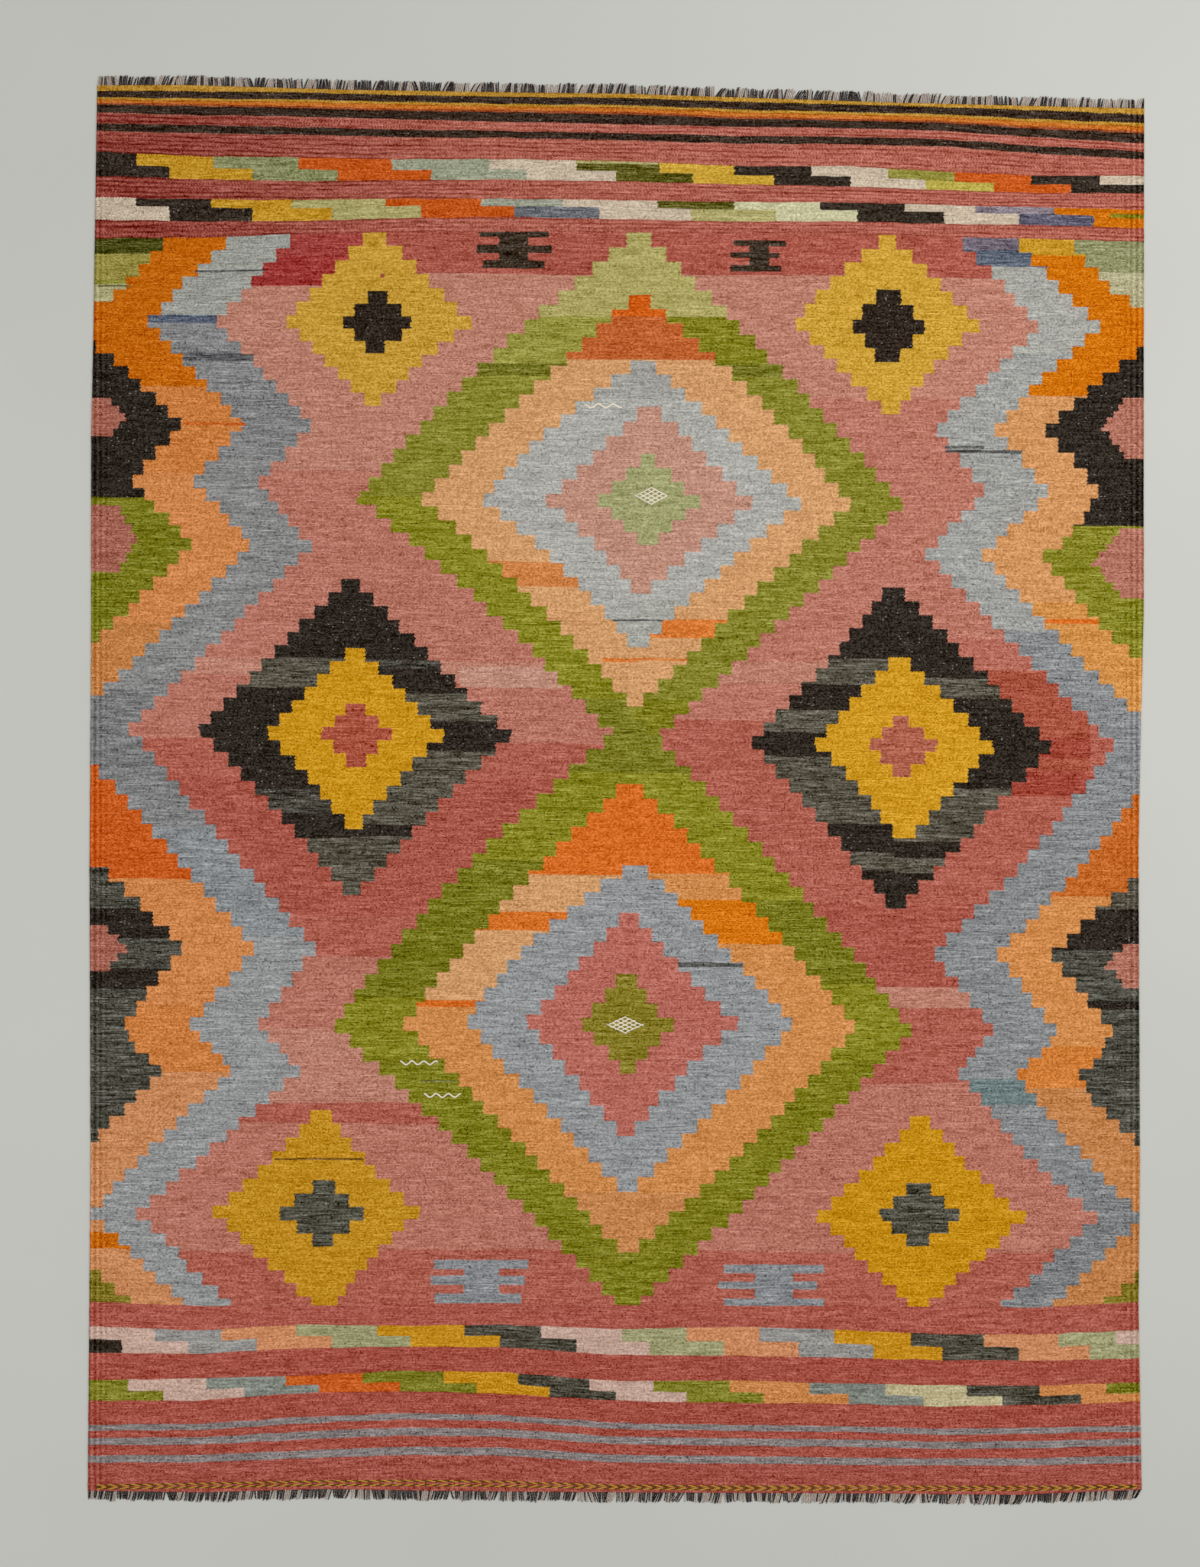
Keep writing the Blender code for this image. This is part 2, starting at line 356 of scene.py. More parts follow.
# %% The shades
YARNS = {
    "madder": (168, 87, 72),
    "soft madder": (173, 95, 79),
    "deep madder": (162, 86, 70),
    "warm rose": (178, 105, 89),
    "rose": (182, 116, 99),
    "faded rose": (185, 127, 108),
    "spring green": (171, 162, 97),
    "olive green": (148, 145, 62),
    "streaky green": (114, 113, 34),
    "leaf green": (134, 132, 45),
    "moss green": (122, 121, 34),
    "deep moss": (118, 117, 27),
    "grass green": (134, 132, 33),
    "old green": (126, 124, 28),
    "pale heart green": (159, 160, 111),
    "dark heart green": (134, 122, 38),
    "bottle green": (90, 85, 26),
    "lime": (182, 167, 76),
    "dark green": (70, 70, 17),
    "field sage": (150, 140, 67),
    "pale sage": (176, 169, 125),
    "edge green": (122, 121, 28),
    "edge grass green": (130, 128, 36),
    "foot green": (129, 115, 34),
    "head sage": (139, 140, 99),
    "head pale green": (174, 168, 132),
    "bright orange": (203, 90, 17),
    "brick orange": (188, 96, 46),
    "orange": (212, 107, 35),
    "amber orange": (194, 101, 7),
    "yellow orange": (200, 109, 6),
    "rust orange": (198, 90, 28),
    "warm rust": (192, 102, 38),
    "peach": (208, 155, 105),
    "warm peach": (205, 129, 70),
    "soft orange": (215, 122, 53),
    "tawny peach": (203, 125, 63),
    "sand peach": (204, 145, 92),
    "dull peach": (195, 128, 72),
    "ochre peach": (204, 141, 74),
    "rust apricot": (208, 125, 55),
    "apricot": (207, 133, 76),
    "gold apricot": (206, 137, 76),
    "foot peach": (201, 137, 90),
    "deep peach": (206, 139, 78),
    "band orange": (214, 114, 40),
    "peach foot": (199, 135, 81),
    "apricot foot": (193, 129, 76),
    "amber band": (211, 116, 14),
    "light blue": (156, 157, 149),
    "navy": (82, 90, 106),
    "grey blue": (131, 131, 131),
    "mid blue": (136, 136, 135),
    "dark stripe": (92, 92, 94),
    "steel blue": (125, 125, 125),
    "river blue": (136, 140, 142),
    "soft blue": (147, 148, 148),
    "lavender": (112, 102, 114),
    "mist blue": (164, 163, 156),
    "fog blue": (156, 156, 152),
    "sky grey": (134, 136, 137),
    "teal": (111, 127, 127),
    "dusty blue": (128, 129, 130),
    "squiggle grey": (93, 93, 89),
    "ring blue": (171, 170, 164),
    "ring grey": (160, 159, 153),
    "worn blue": (165, 165, 157),
    "lower blue": (146, 148, 149),
    "rose heart": (189, 141, 122),
    "lower rose": (182, 106, 92),
    "head gold": (197, 153, 55),
    "head bright gold": (200, 156, 55),
    "foot gold": (193, 140, 31),
    "foot bright gold": (198, 141, 19),
    "eye gold": (201, 146, 26),
    "bright eye gold": (203, 149, 32),
    "black": (45, 38, 31),
    "charcoal": (77, 75, 65),
    "iron grey": (86, 81, 68),
    "slate grey": (70, 66, 57),
    "eye black": (46, 36, 28),
    "eye charcoal": (79, 77, 65),
    "madder heart": (168, 82, 62),
    "soft heart": (171, 96, 75),
    "comb black": (58, 46, 34),
    "comb blue": (136, 138, 141),
    "edge rose": (165, 102, 85),
    "right edge rose": (173, 112, 94),
    "brick black": (50, 41, 32),
    "gold": (192, 144, 38),
    "sage": (136, 139, 95),
    "orange red": (193, 85, 24),
    "grey sage": (153, 156, 132),
    "pale pink": (196, 179, 157),
    "straw": (170, 162, 105),
    "pale teal": (152, 154, 136),
    "slate blue": (101, 103, 108),
    "mint": (195, 191, 153),
    "brick lavender": (134, 123, 131),
    "light gold": (200, 160, 56),
    "foot pink": (197, 166, 151),
    "foot blue grey": (149, 147, 143),
    "foot peach brick": (205, 139, 96),
    "foot sage": (160, 158, 116),
    "foot brick gold": (198, 141, 27),
    "foot charcoal": (78, 74, 62),
    "foot green brick": (127, 125, 37),
    "foot teal": (132, 137, 128),
    "foot orange brick": (201, 93, 31),
    "cream": (189, 178, 137),
    "foot apricot brick": (203, 134, 76),
    "stripe gold": (182, 136, 49),
    "stripe black": (55, 41, 31),
    "stripe orange": (197, 112, 40),
    "stripe pink": (178, 104, 88),
    "band red": (166, 81, 67),
    "band pink": (171, 89, 75),
    "stripe blue": (136, 128, 126),
    "foot red": (165, 83, 70),
    "crimson": (155, 53, 49),
    "crimson stripe": (160, 66, 60),
    "crimson side": (157, 68, 53),
    "side madder": (164, 81, 62),
    "light rose": (190, 141, 122),
    "stripe amber": (172, 98, 24),
    "stripe rust": (152, 73, 36),
    "left pink": (152, 74, 62),
    "left pick": (116, 36, 28),
    "red pick": (146, 66, 51),
    "thread dark": (84, 84, 82),
    "thread green": (92, 92, 50),
    "thread brown": (128, 92, 40),
    "thread orange": (196, 98, 34),
    "thread lime": (134, 124, 28),
    "brick grass": (143, 138, 60),
    "brick amber": (199, 110, 10),
    "violet slate": (93, 91, 107),
    "thread navy": (92, 100, 114),
}
LAMP_GAIN = 1.06


def yarn(name):
    """A shade as linear red, green, blue and alpha, a little deeper than it looks under the lamps."""
    channels = [c / 255 for c in YARNS[name]]
    linear = [c / 12.92 if c <= 0.04045 else ((c + 0.055) / 1.055) ** 2.4 for c in channels]
    return (*(min(c * LAMP_GAIN, 0.95) for c in linear), 1.0)


print(len(YARNS), "shades; madder is", [round(c, 3) for c in yarn("madder")[:3]])

# %% [markdown]
# ## Small helpers for shader nodes
# A woven pattern is arithmetic on the cloth's map: is this point left of that edge, and which row is it
# in? Each helper adds one node and gives back its output, so the chart below reads like plain sums.
# Cycles works the nodes out in the order in which they were made and has room for only so many numbers
# at once, so a node is always made after the nodes that feed it. The Clamp tick box of a Map Range node
# would add a node after all the others, so a range is held here by a Clamp node of its own.


# %% Node helpers
def wire(tree, source, socket):
    """Links an output to a socket, or writes a plain number or colour into it."""
    if isinstance(source, bpy.types.NodeSocket):
        tree.links.new(source, socket)
    else:
        socket.default_value = source


def calc(tree, operation, *values):
    """One Math node."""
    made = tree.nodes.new("ShaderNodeMath")
    made.operation = operation
    for socket, value in zip(made.inputs, values):
        wire(tree, value, socket)
    return made.outputs[0]


def blend_colour(tree, share, under, over):
    """The colour over, laid on the colour under by a share from 0 to 1."""
    made = tree.nodes.new("ShaderNodeMix")
    made.data_type = "RGBA"
    wire(tree, share, made.inputs[0])
    wire(tree, under, made.inputs[6])
    wire(tree, over, made.inputs[7])
    return made.outputs[2]


def stretch(tree, value, low, high, to_low=0.0, to_high=1.0):
    """Maps a range onto another, held at its ends."""
    scale = (to_high - to_low) / (high - low)
    share = calc(tree, "MULTIPLY_ADD", value, scale, to_low - low * scale)
    held = tree.nodes.new("ShaderNodeClamp")
    wire(tree, share, held.inputs["Value"])
    held.inputs["Min"].default_value = to_low
    held.inputs["Max"].default_value = to_high
    return held.outputs["Result"]


def fleece_noise(tree, across, along, across_size, along_size, detail, seed):
    """Noise from 0 to 1, in patches of about these sizes in metres."""
    x = calc(tree, "MULTIPLY_ADD", across, 1 / across_size, seed)
    y = calc(tree, "MULTIPLY_ADD", along, 1 / along_size, seed * 0.7)
    place = tree.nodes.new("ShaderNodeCombineXYZ")
    wire(tree, x, place.inputs["X"])
    wire(tree, y, place.inputs["Y"])
    made = tree.nodes.new("ShaderNodeTexNoise")
    made.noise_dimensions = "2D"
    tree.links.new(place.outputs[0], made.inputs["Vector"])
    made.inputs["Scale"].default_value = 1.0
    made.inputs["Detail"].default_value = detail
    return made.outputs["Fac"]


def new_group(name, inputs, outputs):
    """A node group with named sockets, and the nodes that stand for its two ends."""
    tree = bpy.data.node_groups.new(name, "ShaderNodeTree")
    for label, kind in inputs:
        tree.interface.new_socket(label, in_out="INPUT", socket_type=kind)
    for label, kind in outputs:
        tree.interface.new_socket(label, in_out="OUTPUT", socket_type=kind)
    return tree, tree.nodes.new("NodeGroupInput").outputs, tree.nodes.new("NodeGroupOutput").inputs


def use_group(tree, group, **values):
    """Places a group and sets its inputs; an underscore in a name stands for a space."""
    made = tree.nodes.new("ShaderNodeGroup")
    made.node_tree = group
    for label, value in values.items():
        wire(tree, value, made.inputs[label.replace("_", " ")])
    return made.outputs


NUMBER, COLOUR = "NodeSocketFloat", "NodeSocketColor"

# %% [markdown]
# ## The stepped diamond
# A slit-woven edge can't run at a slant: it stands upright for a few rows, steps over a few warps, and
# stands again. A diamond is therefore a stack of even bars. The group works out which bar a point is
# in, how wide that bar is, and whether the point is inside it. No weaver counts every step, so each of
# the four edges may also bow a little in or out, and every bar starts and ends a thread or two off.


# %% Build the stepped diamond
BOWS = ("Bow top left", "Bow top right", "Bow foot left", "Bow foot right")
BAR_SLIP = 0.0060
CHANCE_TURN = 12.9898
CHANCE_SCALE = 43758.5453
RIGHT_SIDE_SHIFT = 100.0
ZIGZAG_SEED = 50.0


def bow(tree, given, is_up, share, side):
    """How far an edge bends sideways, most of all half way between the widest bar and the end."""
    bend = calc(tree, "MULTIPLY", calc(tree, "SUBTRACT", 1.0, share), share)
    bend = calc(tree, "MULTIPLY", bend, 4.0)
    change = calc(tree, "SUBTRACT", given["Bow top " + side], given["Bow foot " + side])
    amount = calc(tree, "MULTIPLY_ADD", is_up, change, given["Bow foot " + side])
    return calc(tree, "MULTIPLY", amount, bend)


def slip(tree, edge, bar, seed):
    """An edge that lies a thread or two away from its place, by the same chance all along a bar."""
    turned = calc(tree, "SINE", calc(tree, "MULTIPLY_ADD", bar, CHANCE_TURN, seed))
    chance = calc(tree, "FRACT", calc(tree, "MULTIPLY", turned, CHANCE_SCALE))
    return calc(tree, "MULTIPLY_ADD", calc(tree, "SUBTRACT", chance, 0.5), BAR_SLIP, edge)


def build_stepped_diamond():
    tips = ["Top", "Middle", "Foot", "Left tip", "Right tip"]
    ends = ["Top centre", "Top half", "Foot centre", "Foot half", "Steps"]
    names = [(label, NUMBER) for label in ["Across", "Along", *tips, *ends, *BOWS, "Seed"]]
    tree, given, result = new_group("Stepped diamond", names, [("Inside", NUMBER)])
    from_middle = calc(tree, "SUBTRACT", given["Along"], given["Middle"])
    up = calc(tree, "DIVIDE", from_middle, calc(tree, "SUBTRACT", given["Top"], given["Middle"]))
    down = calc(tree, "DIVIDE", from_middle, calc(tree, "SUBTRACT", given["Foot"], given["Middle"]))
    reach = calc(tree, "MAXIMUM", up, down)
    is_up = calc(tree, "GREATER_THAN", up, down)
    most = calc(tree, "ADD", given["Steps"], 0.5)
    bars = calc(tree, "MULTIPLY", reach, most)
    bar_number = calc(tree, "ROUND", bars)
    share = calc(tree, "DIVIDE", bar_number, given["Steps"])
    signed = calc(tree, "MULTIPLY_ADD", is_up, 40.0, bar_number)
    rise = calc(tree, "SUBTRACT", given["Top centre"], given["Foot centre"])
    centre = calc(tree, "MULTIPLY_ADD", is_up, rise, given["Foot centre"])
    widen = calc(tree, "SUBTRACT", given["Top half"], given["Foot half"])
    half = calc(tree, "MULTIPLY_ADD", is_up, widen, given["Foot half"])
    left_run = calc(tree, "SUBTRACT", calc(tree, "SUBTRACT", centre, half), given["Left tip"])
    right_run = calc(tree, "SUBTRACT", calc(tree, "ADD", centre, half), given["Right tip"])
    left = calc(tree, "MULTIPLY_ADD", left_run, share, given["Left tip"])
    right = calc(tree, "MULTIPLY_ADD", right_run, share, given["Right tip"])
    left = calc(tree, "ADD", left, bow(tree, given, is_up, share, "left"))
    right = calc(tree, "ADD", right, bow(tree, given, is_up, share, "right"))
    left = slip(tree, left, signed, given["Seed"])
    right = slip(tree, right, calc(tree, "ADD", signed, RIGHT_SIDE_SHIFT), given["Seed"])
    past_left = calc(tree, "GREATER_THAN", given["Across"], left)
    before_right = calc(tree, "LESS_THAN", given["Across"], right)
    within = calc(tree, "LESS_THAN", bars, most)
    inside = calc(tree, "MULTIPLY", calc(tree, "MULTIPLY", past_left, before_right), within)
    tree.links.new(inside, result["Inside"])
    return tree


stepped_diamond = build_stepped_diamond()
print(stepped_diamond.name, "has", len(stepped_diamond.nodes), "nodes")

# %% [markdown]
# The diamonds themselves, in millimetres from the middle of the rug. Their places and steps were read
# off the photo, and the four bows of each were fitted to its edges there. Two big medallions of five
# nested diamonds stand one above the other, with six smaller ones round them.

# %% The chart of the diamonds
# name: along at the top, the widest row and the foot; across at the left and right tips;
# middle and half width of the top row and of the foot row; steps from the widest row to an end
DIAMONDS = {
    "upper_green": (1055, 545, 63, -490, 542, 45, 22, 36, 21, 18, -30, 12, 22, 3),
    "upper_peach": (937, 544, 155, -369, 443, 45, 20, 36, 17, 14, -11, 21, 16, -6),
    "upper_blue": (811, 544, 268, -253, 352, 53, 25, 41, 22, 10, -23, 0, 18, -11),
    "upper_rose": (724, 544, 370, -131, 256, 64, 24, 47, 16, 6, 0, 0, 8, 0),
    "upper_heart": (635, 545, 463, -34, 158, 60, 16, 61, 21, 3, 0, 0, 0, 0),
    "lower_green": (130, -457, -990, -536, 560, 36, 21, 23, 23, 20, -41, 20, 10, 13),
    "lower_peach": (8, -451, -882, -403, 454, 27, 25, 21, 21, 16, -18, 12, 2, 19),
    "lower_blue": (-146, -446, -767, -283, 336, 37, 26, 21, 21, 11, -32, 6, -5, 5),
    "lower_rose": (-237, -445, -661, -170, 231, 25, 17, 20, 17, 7, 0, -6, 0, -11),
    "lower_heart": (-353, -450, -543, -65, 108, 20, 18, 21, 17, 3, -2, -4, 3, -2),
    "head_left_gold": (1056, 882, 724, -625, -276, -456, 22, -461, 18, 6, -9, 0, 0, -7),
    "head_left_eye": (943, 882, 824, -521, -388, -454, 19, -456, 19, 2, 0, 3, -2, 3),
    "head_right_gold": (1054, 883, 714, 342, 689, 515, 17, 522, 20, 6, -14, 5, 0, -9),
    "head_right_eye": (951, 879, 812, 448, 585, 517, 25, 517, 25, 2, -2, 0, 0, 0),
    "foot_left_gold": (-614, -809, -988, -766, -374, -560, 21, -553, 22, 7, 7, -10, -4, -10),
    "foot_left_eye": (-747, -811, -872, -640, -479, -557, 21, -557, 21, 2, 0, 0, 3, 0),
    "foot_right_gold": (-621, -813, -988, 380, 778, 580, 19, 574, 20, 7, 3, -11, 2, 1),
    "foot_right_eye": (-749, -809, -868, 504, 652, 574, 24, 574, 24, 2, 2, -2, -4, 5),
    "left_dark": (390, 96, -209, -792, -200, -504, 21, -501, 16, 11, -2, -5, 6, -7),
    "left_gold": (258, 94, -84, -659, -329, -496, 21, -500, 17, 6, -4, 0, 1, -6),
    "left_rose": (152, 96, 32, -559, -428, -494, 19, -494, 19, 2, 1, 0, 1, -2),
    "right_dark": (388, 91, -224, 256, 826, 528, 22, 530, 20, 11, 8, 4, 8, 2),
    "right_gold": (256, 89, -89, 380, 716, 538, 21, 545, 22, 6, -5, 4, 9, 0),
    "right_rose": (146, 91, 29, 481, 608, 542, 17, 542, 17, 2, 1, -1, -1, 3),
}


def diamond(tree, across, along, name):
    """The mask of one charted diamond."""
    top, middle, foot, left, right = DIAMONDS[name][:5]
    top_centre, top_half, foot_centre, foot_half, steps = DIAMONDS[name][5:10]
    bows = {label.replace(" ", "_"): b * MM for label, b in zip(BOWS, DIAMONDS[name][10:])}
    return use_group(
        tree,
        stepped_diamond,
        Across=across,
        Along=along,
        Top=top * MM,
        Middle=middle * MM,
        Foot=foot * MM,
        Left_tip=left * MM,
        Right_tip=right * MM,
        Top_centre=top_centre * MM,
        Top_half=top_half * MM,
        Foot_centre=foot_centre * MM,
        Foot_half=foot_half * MM,
        Steps=float(steps),
        Seed=float(list(DIAMONDS).index(name)),
        **bows,
    )["Inside"]


print(len(DIAMONDS), "diamonds are charted")

# %% [markdown]
# ## Yarn lots
# Inside one diamond the weaver ran through several lots of yarn, so its colour changes in level bands.
# Each list below reads from the head of the rug down: where a lot starts, in millimetres, and its shade.
# A colour ramp that is held constant between its stops gives the hard change from one lot to the next.
# Only changes that show plainly are charted; the finer streaks are left to seeded noise.

# %% The lots of every part of the pattern
LOTS = {
    "ground left": (
        (1056, "madder"), (970, "faded rose"), (590, "rose"), (230, "faded rose"), (200, "rose"),
        (80, "soft madder"), (10, "madder"), (-250, "soft madder"), (-330, "rose"),
        (-470, "faded rose"), (-600, "soft madder"), (-640, "rose"), (-880, "soft madder"),
    ),
    "ground right": (
        (1056, "madder"), (970, "faded rose"), (740, "rose"), (240, "faded rose"), (200, "rose"),
        (130, "soft madder"), (-220, "madder"), (-380, "faded rose"), (-420, "soft madder"),
        (-560, "rose"), (-880, "soft madder"),
    ),
    "left_blue": (
        (1056, "light blue"), (887, "navy"), (877, "grey blue"), (815, "dark stripe"),
        (806, "grey blue"), (620, "mid blue"), (170, "steel blue"), (10, "grey blue"),
        (-90, "river blue"), (-290, "soft blue"),
    ),
    "right_blue": (
        (1056, "lavender"), (1023, "thread navy"), (998, "mist blue"), (828, "fog blue"),
        (304, "sky grey"), (-555, "teal"), (-600, "sky grey"), (-783, "dusty blue"),
    ),
    "left_peach": (
        (1056, "amber orange"), (756, "tawny peach"), (585, "apricot"), (300, "dull peach"),
        (91, "rust orange"), (-182, "apricot"), (-430, "tawny peach"), (-545, "foot peach"),
        (-855, "amber orange"), (-882, "foot peach"),
    ),
    "right_peach": (
        (1056, "gold"), (1020, "yellow orange"), (743, "sand peach"), (357, "ochre peach"),
        (325, "orange"), (317, "ochre peach"), (91, "warm rust"), (-203, "gold apricot"),
        (-494, "rust apricot"), (-570, "apricot foot"),
    ),
    "left_black": (
        (1056, "dark green"), (1016, "field sage"), (960, "olive green"), (954, "pale sage"),
        (895, "black"), (535, "edge green"), (72, "charcoal"), (-241, "black"), (-294, "charcoal"),
        (-353, "black"), (-395, "charcoal"), (-783, "foot green"),
    ),
    "right_black": (
        (1056, "head sage"), (988, "head pale green"), (904, "black"), (502, "edge grass green"),
        (72, "iron grey"), (-226, "black"), (-302, "charcoal"), (-399, "black"),
        (-422, "charcoal"), (-783, "foot green"),
    ),
    "upper_green left": (
        (1070, "spring green"), (895, "olive green"), (804, "streaky green"), (781, "leaf green"),
        (547, "grass green"), (167, "moss green"),
    ),
    "upper_green right": (
        (1070, "spring green"), (895, "old green"), (804, "streaky green"), (781, "leaf green"),
        (167, "old green"),
    ),
    "upper_peach left": (
        (946, "bright orange"), (895, "brick orange"), (811, "peach"), (424, "warm peach"),
        (380, "peach"),
    ),
    "upper_peach right": (
        (946, "bright orange"), (895, "brick orange"), (811, "peach"), (321, "soft orange"),
        (283, "peach"), (247, "soft orange"), (241, "peach"),
    ),
    "upper_blue left": ((823, "ring grey"), (737, "ring blue"), (319, "worn blue")),
    "upper_blue right": ((823, "ring grey"), (737, "ring blue"), (357, "worn blue")),
    "lower_green left": (
        (144, "moss green"), (25, "grass green"), (-141, "deep moss"), (-403, "grass green"),
        (-517, "old green"),
    ),
    "lower_green right": (
        (144, "moss green"), (25, "grass green"), (-213, "deep moss"), (-374, "grass green"),
        (-517, "old green"),
    ),
    "lower_peach left": (
        (23, "orange"), (-170, "peach"), (-241, "band orange"), (-276, "peach"), (-408, "orange"),
        (-422, "deep peach"), (-555, "deep peach"), (-773, "peach foot"),
    ),
    "lower_peach right": (
        (23, "orange"), (-163, "deep peach"), (-211, "amber band"), (-296, "deep peach"),
        (-773, "peach foot"),
    ),
    "lower_blue left": ((-133, "lower blue"),),
    "lower_blue right": ((-133, "lower blue"), (-332, "squiggle grey"), (-340, "lower blue")),
    "left_dark left": (
        (405, "black"), (236, "iron grey"), (180, "black"), (-13, "slate grey"), (-57, "black"),
        (-103, "iron grey"),
    ),
    "left_dark right": (
        (405, "black"), (236, "slate grey"), (218, "black"), (173, "iron grey"), (120, "black"),
        (65, "iron grey"), (-76, "black"), (-99, "iron grey"),
    ),
    "right_dark left": (
        (405, "black"), (251, "iron grey"), (201, "black"), (152, "iron grey"), (110, "black"),
        (65, "iron grey"), (-65, "black"), (-118, "iron grey"), (-152, "black"),
    ),
    "right_dark right": (
        (405, "black"), (217, "iron grey"), (180, "black"), (8, "iron grey"), (-97, "black"),
        (-127, "iron grey"), (-158, "black"),
    ),
}


# %% A ramp of lots
def lot_bands(tree, place, lots, top, foot):
    """Level bands of yarn between two places, each from its own start down to the next."""
    share = stretch(tree, place, foot * MM, top * MM)
    made = tree.nodes.new("ShaderNodeValToRGB")
    wire(tree, share, made.inputs["Fac"])
    ramp = made.color_ramp
    ramp.interpolation = "CONSTANT"
    lower_ends = [start for start, _ in lots[1:]] + [foot]
    ramp.elements[1].position = 1.0
    for (_, shade), lower in reversed(list(zip(lots, lower_ends))):
        at = min(max((lower - foot) / (top - foot), 0.0), 1.0)
        if lower == foot:
            stop = ramp.elements[0]
            stop.position = 0.0
        else:
            stop = ramp.elements.new(at)
        stop.color = yarn(shade)
    ramp.elements[-1].color = yarn(lots[0][1])
    return made.outputs["Color"]


def lots_of(tree, along, name, top, foot):
    """The bands of a part of the pattern that has one list of lots."""
    return lot_bands(tree, along, LOTS[name], top, foot)


def two_arms(tree, across, along, name, top, foot, middle):
    """Different lots on the left and right arms of a ring, as they were woven from their own bobbins."""
    left = lot_bands(tree, along, LOTS[name + " left"], top, foot)
    right = lot_bands(tree, along, LOTS[name + " right"], top, foot)
    return blend_colour(tree, calc(tree, "GREATER_THAN", across, middle), left, right)


print(len(LOTS), "lists of lots")

# %% [markdown]
# ## The zigzag side borders
# Down each side run three nested zigzags. All of them turn on the same rows of the loom, so one number,
# the step that a point is in, serves them all. A Float Curve then looks up where each edge stands at
# that step, and a point belongs to the outermost zigzag whose edge lies beyond it. The turns were read
# off the photo, and some places between them were fitted to the edges there.

# %% The turns of the zigzags
ZIGZAG_TURNS = (1041, 881, 686, 572, 452, 97, -310, -456, -540, -813, -980)
ZIGZAG_STEPS = (6, 8, 4, 5, 14, 15, 5, 4, 11, 7)
ZIGZAG_EDGES = {
    "left_blue": (
        (1041, -616), (1000, -658), (881, -760), (686, -576), (572, -684), (452, -579), (97, -925),
        (-310, -572), (-456, -680), (-540, -601), (-813, -912), (-876, -835), (-900, -825),
        (-980, -730),
    ),
    "left_peach": (
        (1041, -741), (961, -823), (881, -889), (686, -707), (572, -806), (527, -756), (452, -694),
        (230, -912), (97, -1062), (-20, -945), (-310, -686), (-456, -809), (-540, -730),
        (-645, -843), (-760, -952), (-813, -996), (-980, -823),
    ),
    "left_black": (
        (1041, -859), (981, -916), (931, -950), (919, -1050), (881, -1053), (800, -944),
        (686, -823), (572, -920), (452, -806), (319, -932), (186, -1076), (-61, -1099),
        (-200, -936), (-310, -823), (-456, -936), (-498, -912), (-540, -861), (-813, -1132),
        (-980, -920),
    ),
    "right_blue": (
        (1041, 657), (1000, 702), (881, 806), (686, 606), (572, 702), (452, 587), (97, 944),
        (30, 901), (-107, 795), (-157, 753), (-310, 603), (-456, 717), (-540, 649), (-690, 774),
        (-813, 912), (-980, 732),
    ),
    "right_peach": (
        (1041, 764), (881, 920), (770, 796), (686, 718), (572, 825), (452, 694), (240, 897),
        (97, 1056), (-100, 915), (-157, 871), (-310, 724), (-456, 837), (-500, 806), (-540, 760),
        (-660, 852), (-813, 1002), (-980, 830),
    ),
    "right_black": (
        (1041, 870), (960, 941), (881, 1049), (800, 945), (686, 814), (572, 921), (482, 857),
        (452, 806), (319, 922), (186, 1081), (-61, 1110), (-200, 942), (-310, 825), (-456, 944),
        (-510, 914), (-540, 878), (-590, 904), (-642, 961), (-813, 1138), (-980, 927),
    ),
}

step_totals = np.concatenate([[0], np.cumsum(ZIGZAG_STEPS)]) + 0.5
STEP_SPAN = float(step_totals[-1] + 0.5)
EDGE_SPAN = 2.6
print("the side borders have", int(STEP_SPAN), "steps")


# %% Build the step counter
def build_zigzag_step():
    outputs = [("Step", NUMBER), ("Number", NUMBER)]
    tree, given, result = new_group("Zigzag step", [("Along", NUMBER)], outputs)
    total = step_totals[0]
    for upper, lower, steps in zip(ZIGZAG_TURNS, ZIGZAG_TURNS[1:], ZIGZAG_STEPS):
        part = stretch(tree, given["Along"], upper * MM, lower * MM, 0.0, float(steps))
        total = calc(tree, "ADD", part, total)
    whole = calc(tree, "ADD", calc(tree, "FLOOR", total), 0.5)
    tree.links.new(calc(tree, "DIVIDE", whole, STEP_SPAN), result["Step"])
    tree.links.new(whole, result["Number"])
    return tree


def zigzag_edge(tree, step, number, name):
    """Where one zigzag's stepped edge stands, in metres across the rug."""
    made = tree.nodes.new("ShaderNodeFloatCurve")
    line = made.mapping.curves[0]
    places = []
    for turn, edge in ZIGZAG_EDGES[name]:
        at = np.interp(-turn, [-t for t in ZIGZAG_TURNS], step_totals)
        places.append((at / STEP_SPAN, edge * MM / EDGE_SPAN + 0.5))
    line.points[0].location = (0.0, places[0][1])
    line.points[1].location = (1.0, places[-1][1])
    for place in places:
        line.points.new(*place)
    for point in line.points:
        point.handle_type = "VECTOR"
    made.mapping.update()
    wire(tree, step, made.inputs["Value"])
    edge = calc(tree, "MULTIPLY", calc(tree, "SUBTRACT", made.outputs[0], 0.5), EDGE_SPAN)
    return slip(tree, edge, number, ZIGZAG_SEED + list(ZIGZAG_EDGES).index(name))


zigzag_step = build_zigzag_step()
print(zigzag_step.name, "has", len(zigzag_step.nodes), "nodes")

# %% [markdown]
# ## Bars
# The small comb-shaped motifs, the mends and the odd threads are all short bars. One helper draws a bar
# from its two ends and its two rows, and the charts list them.

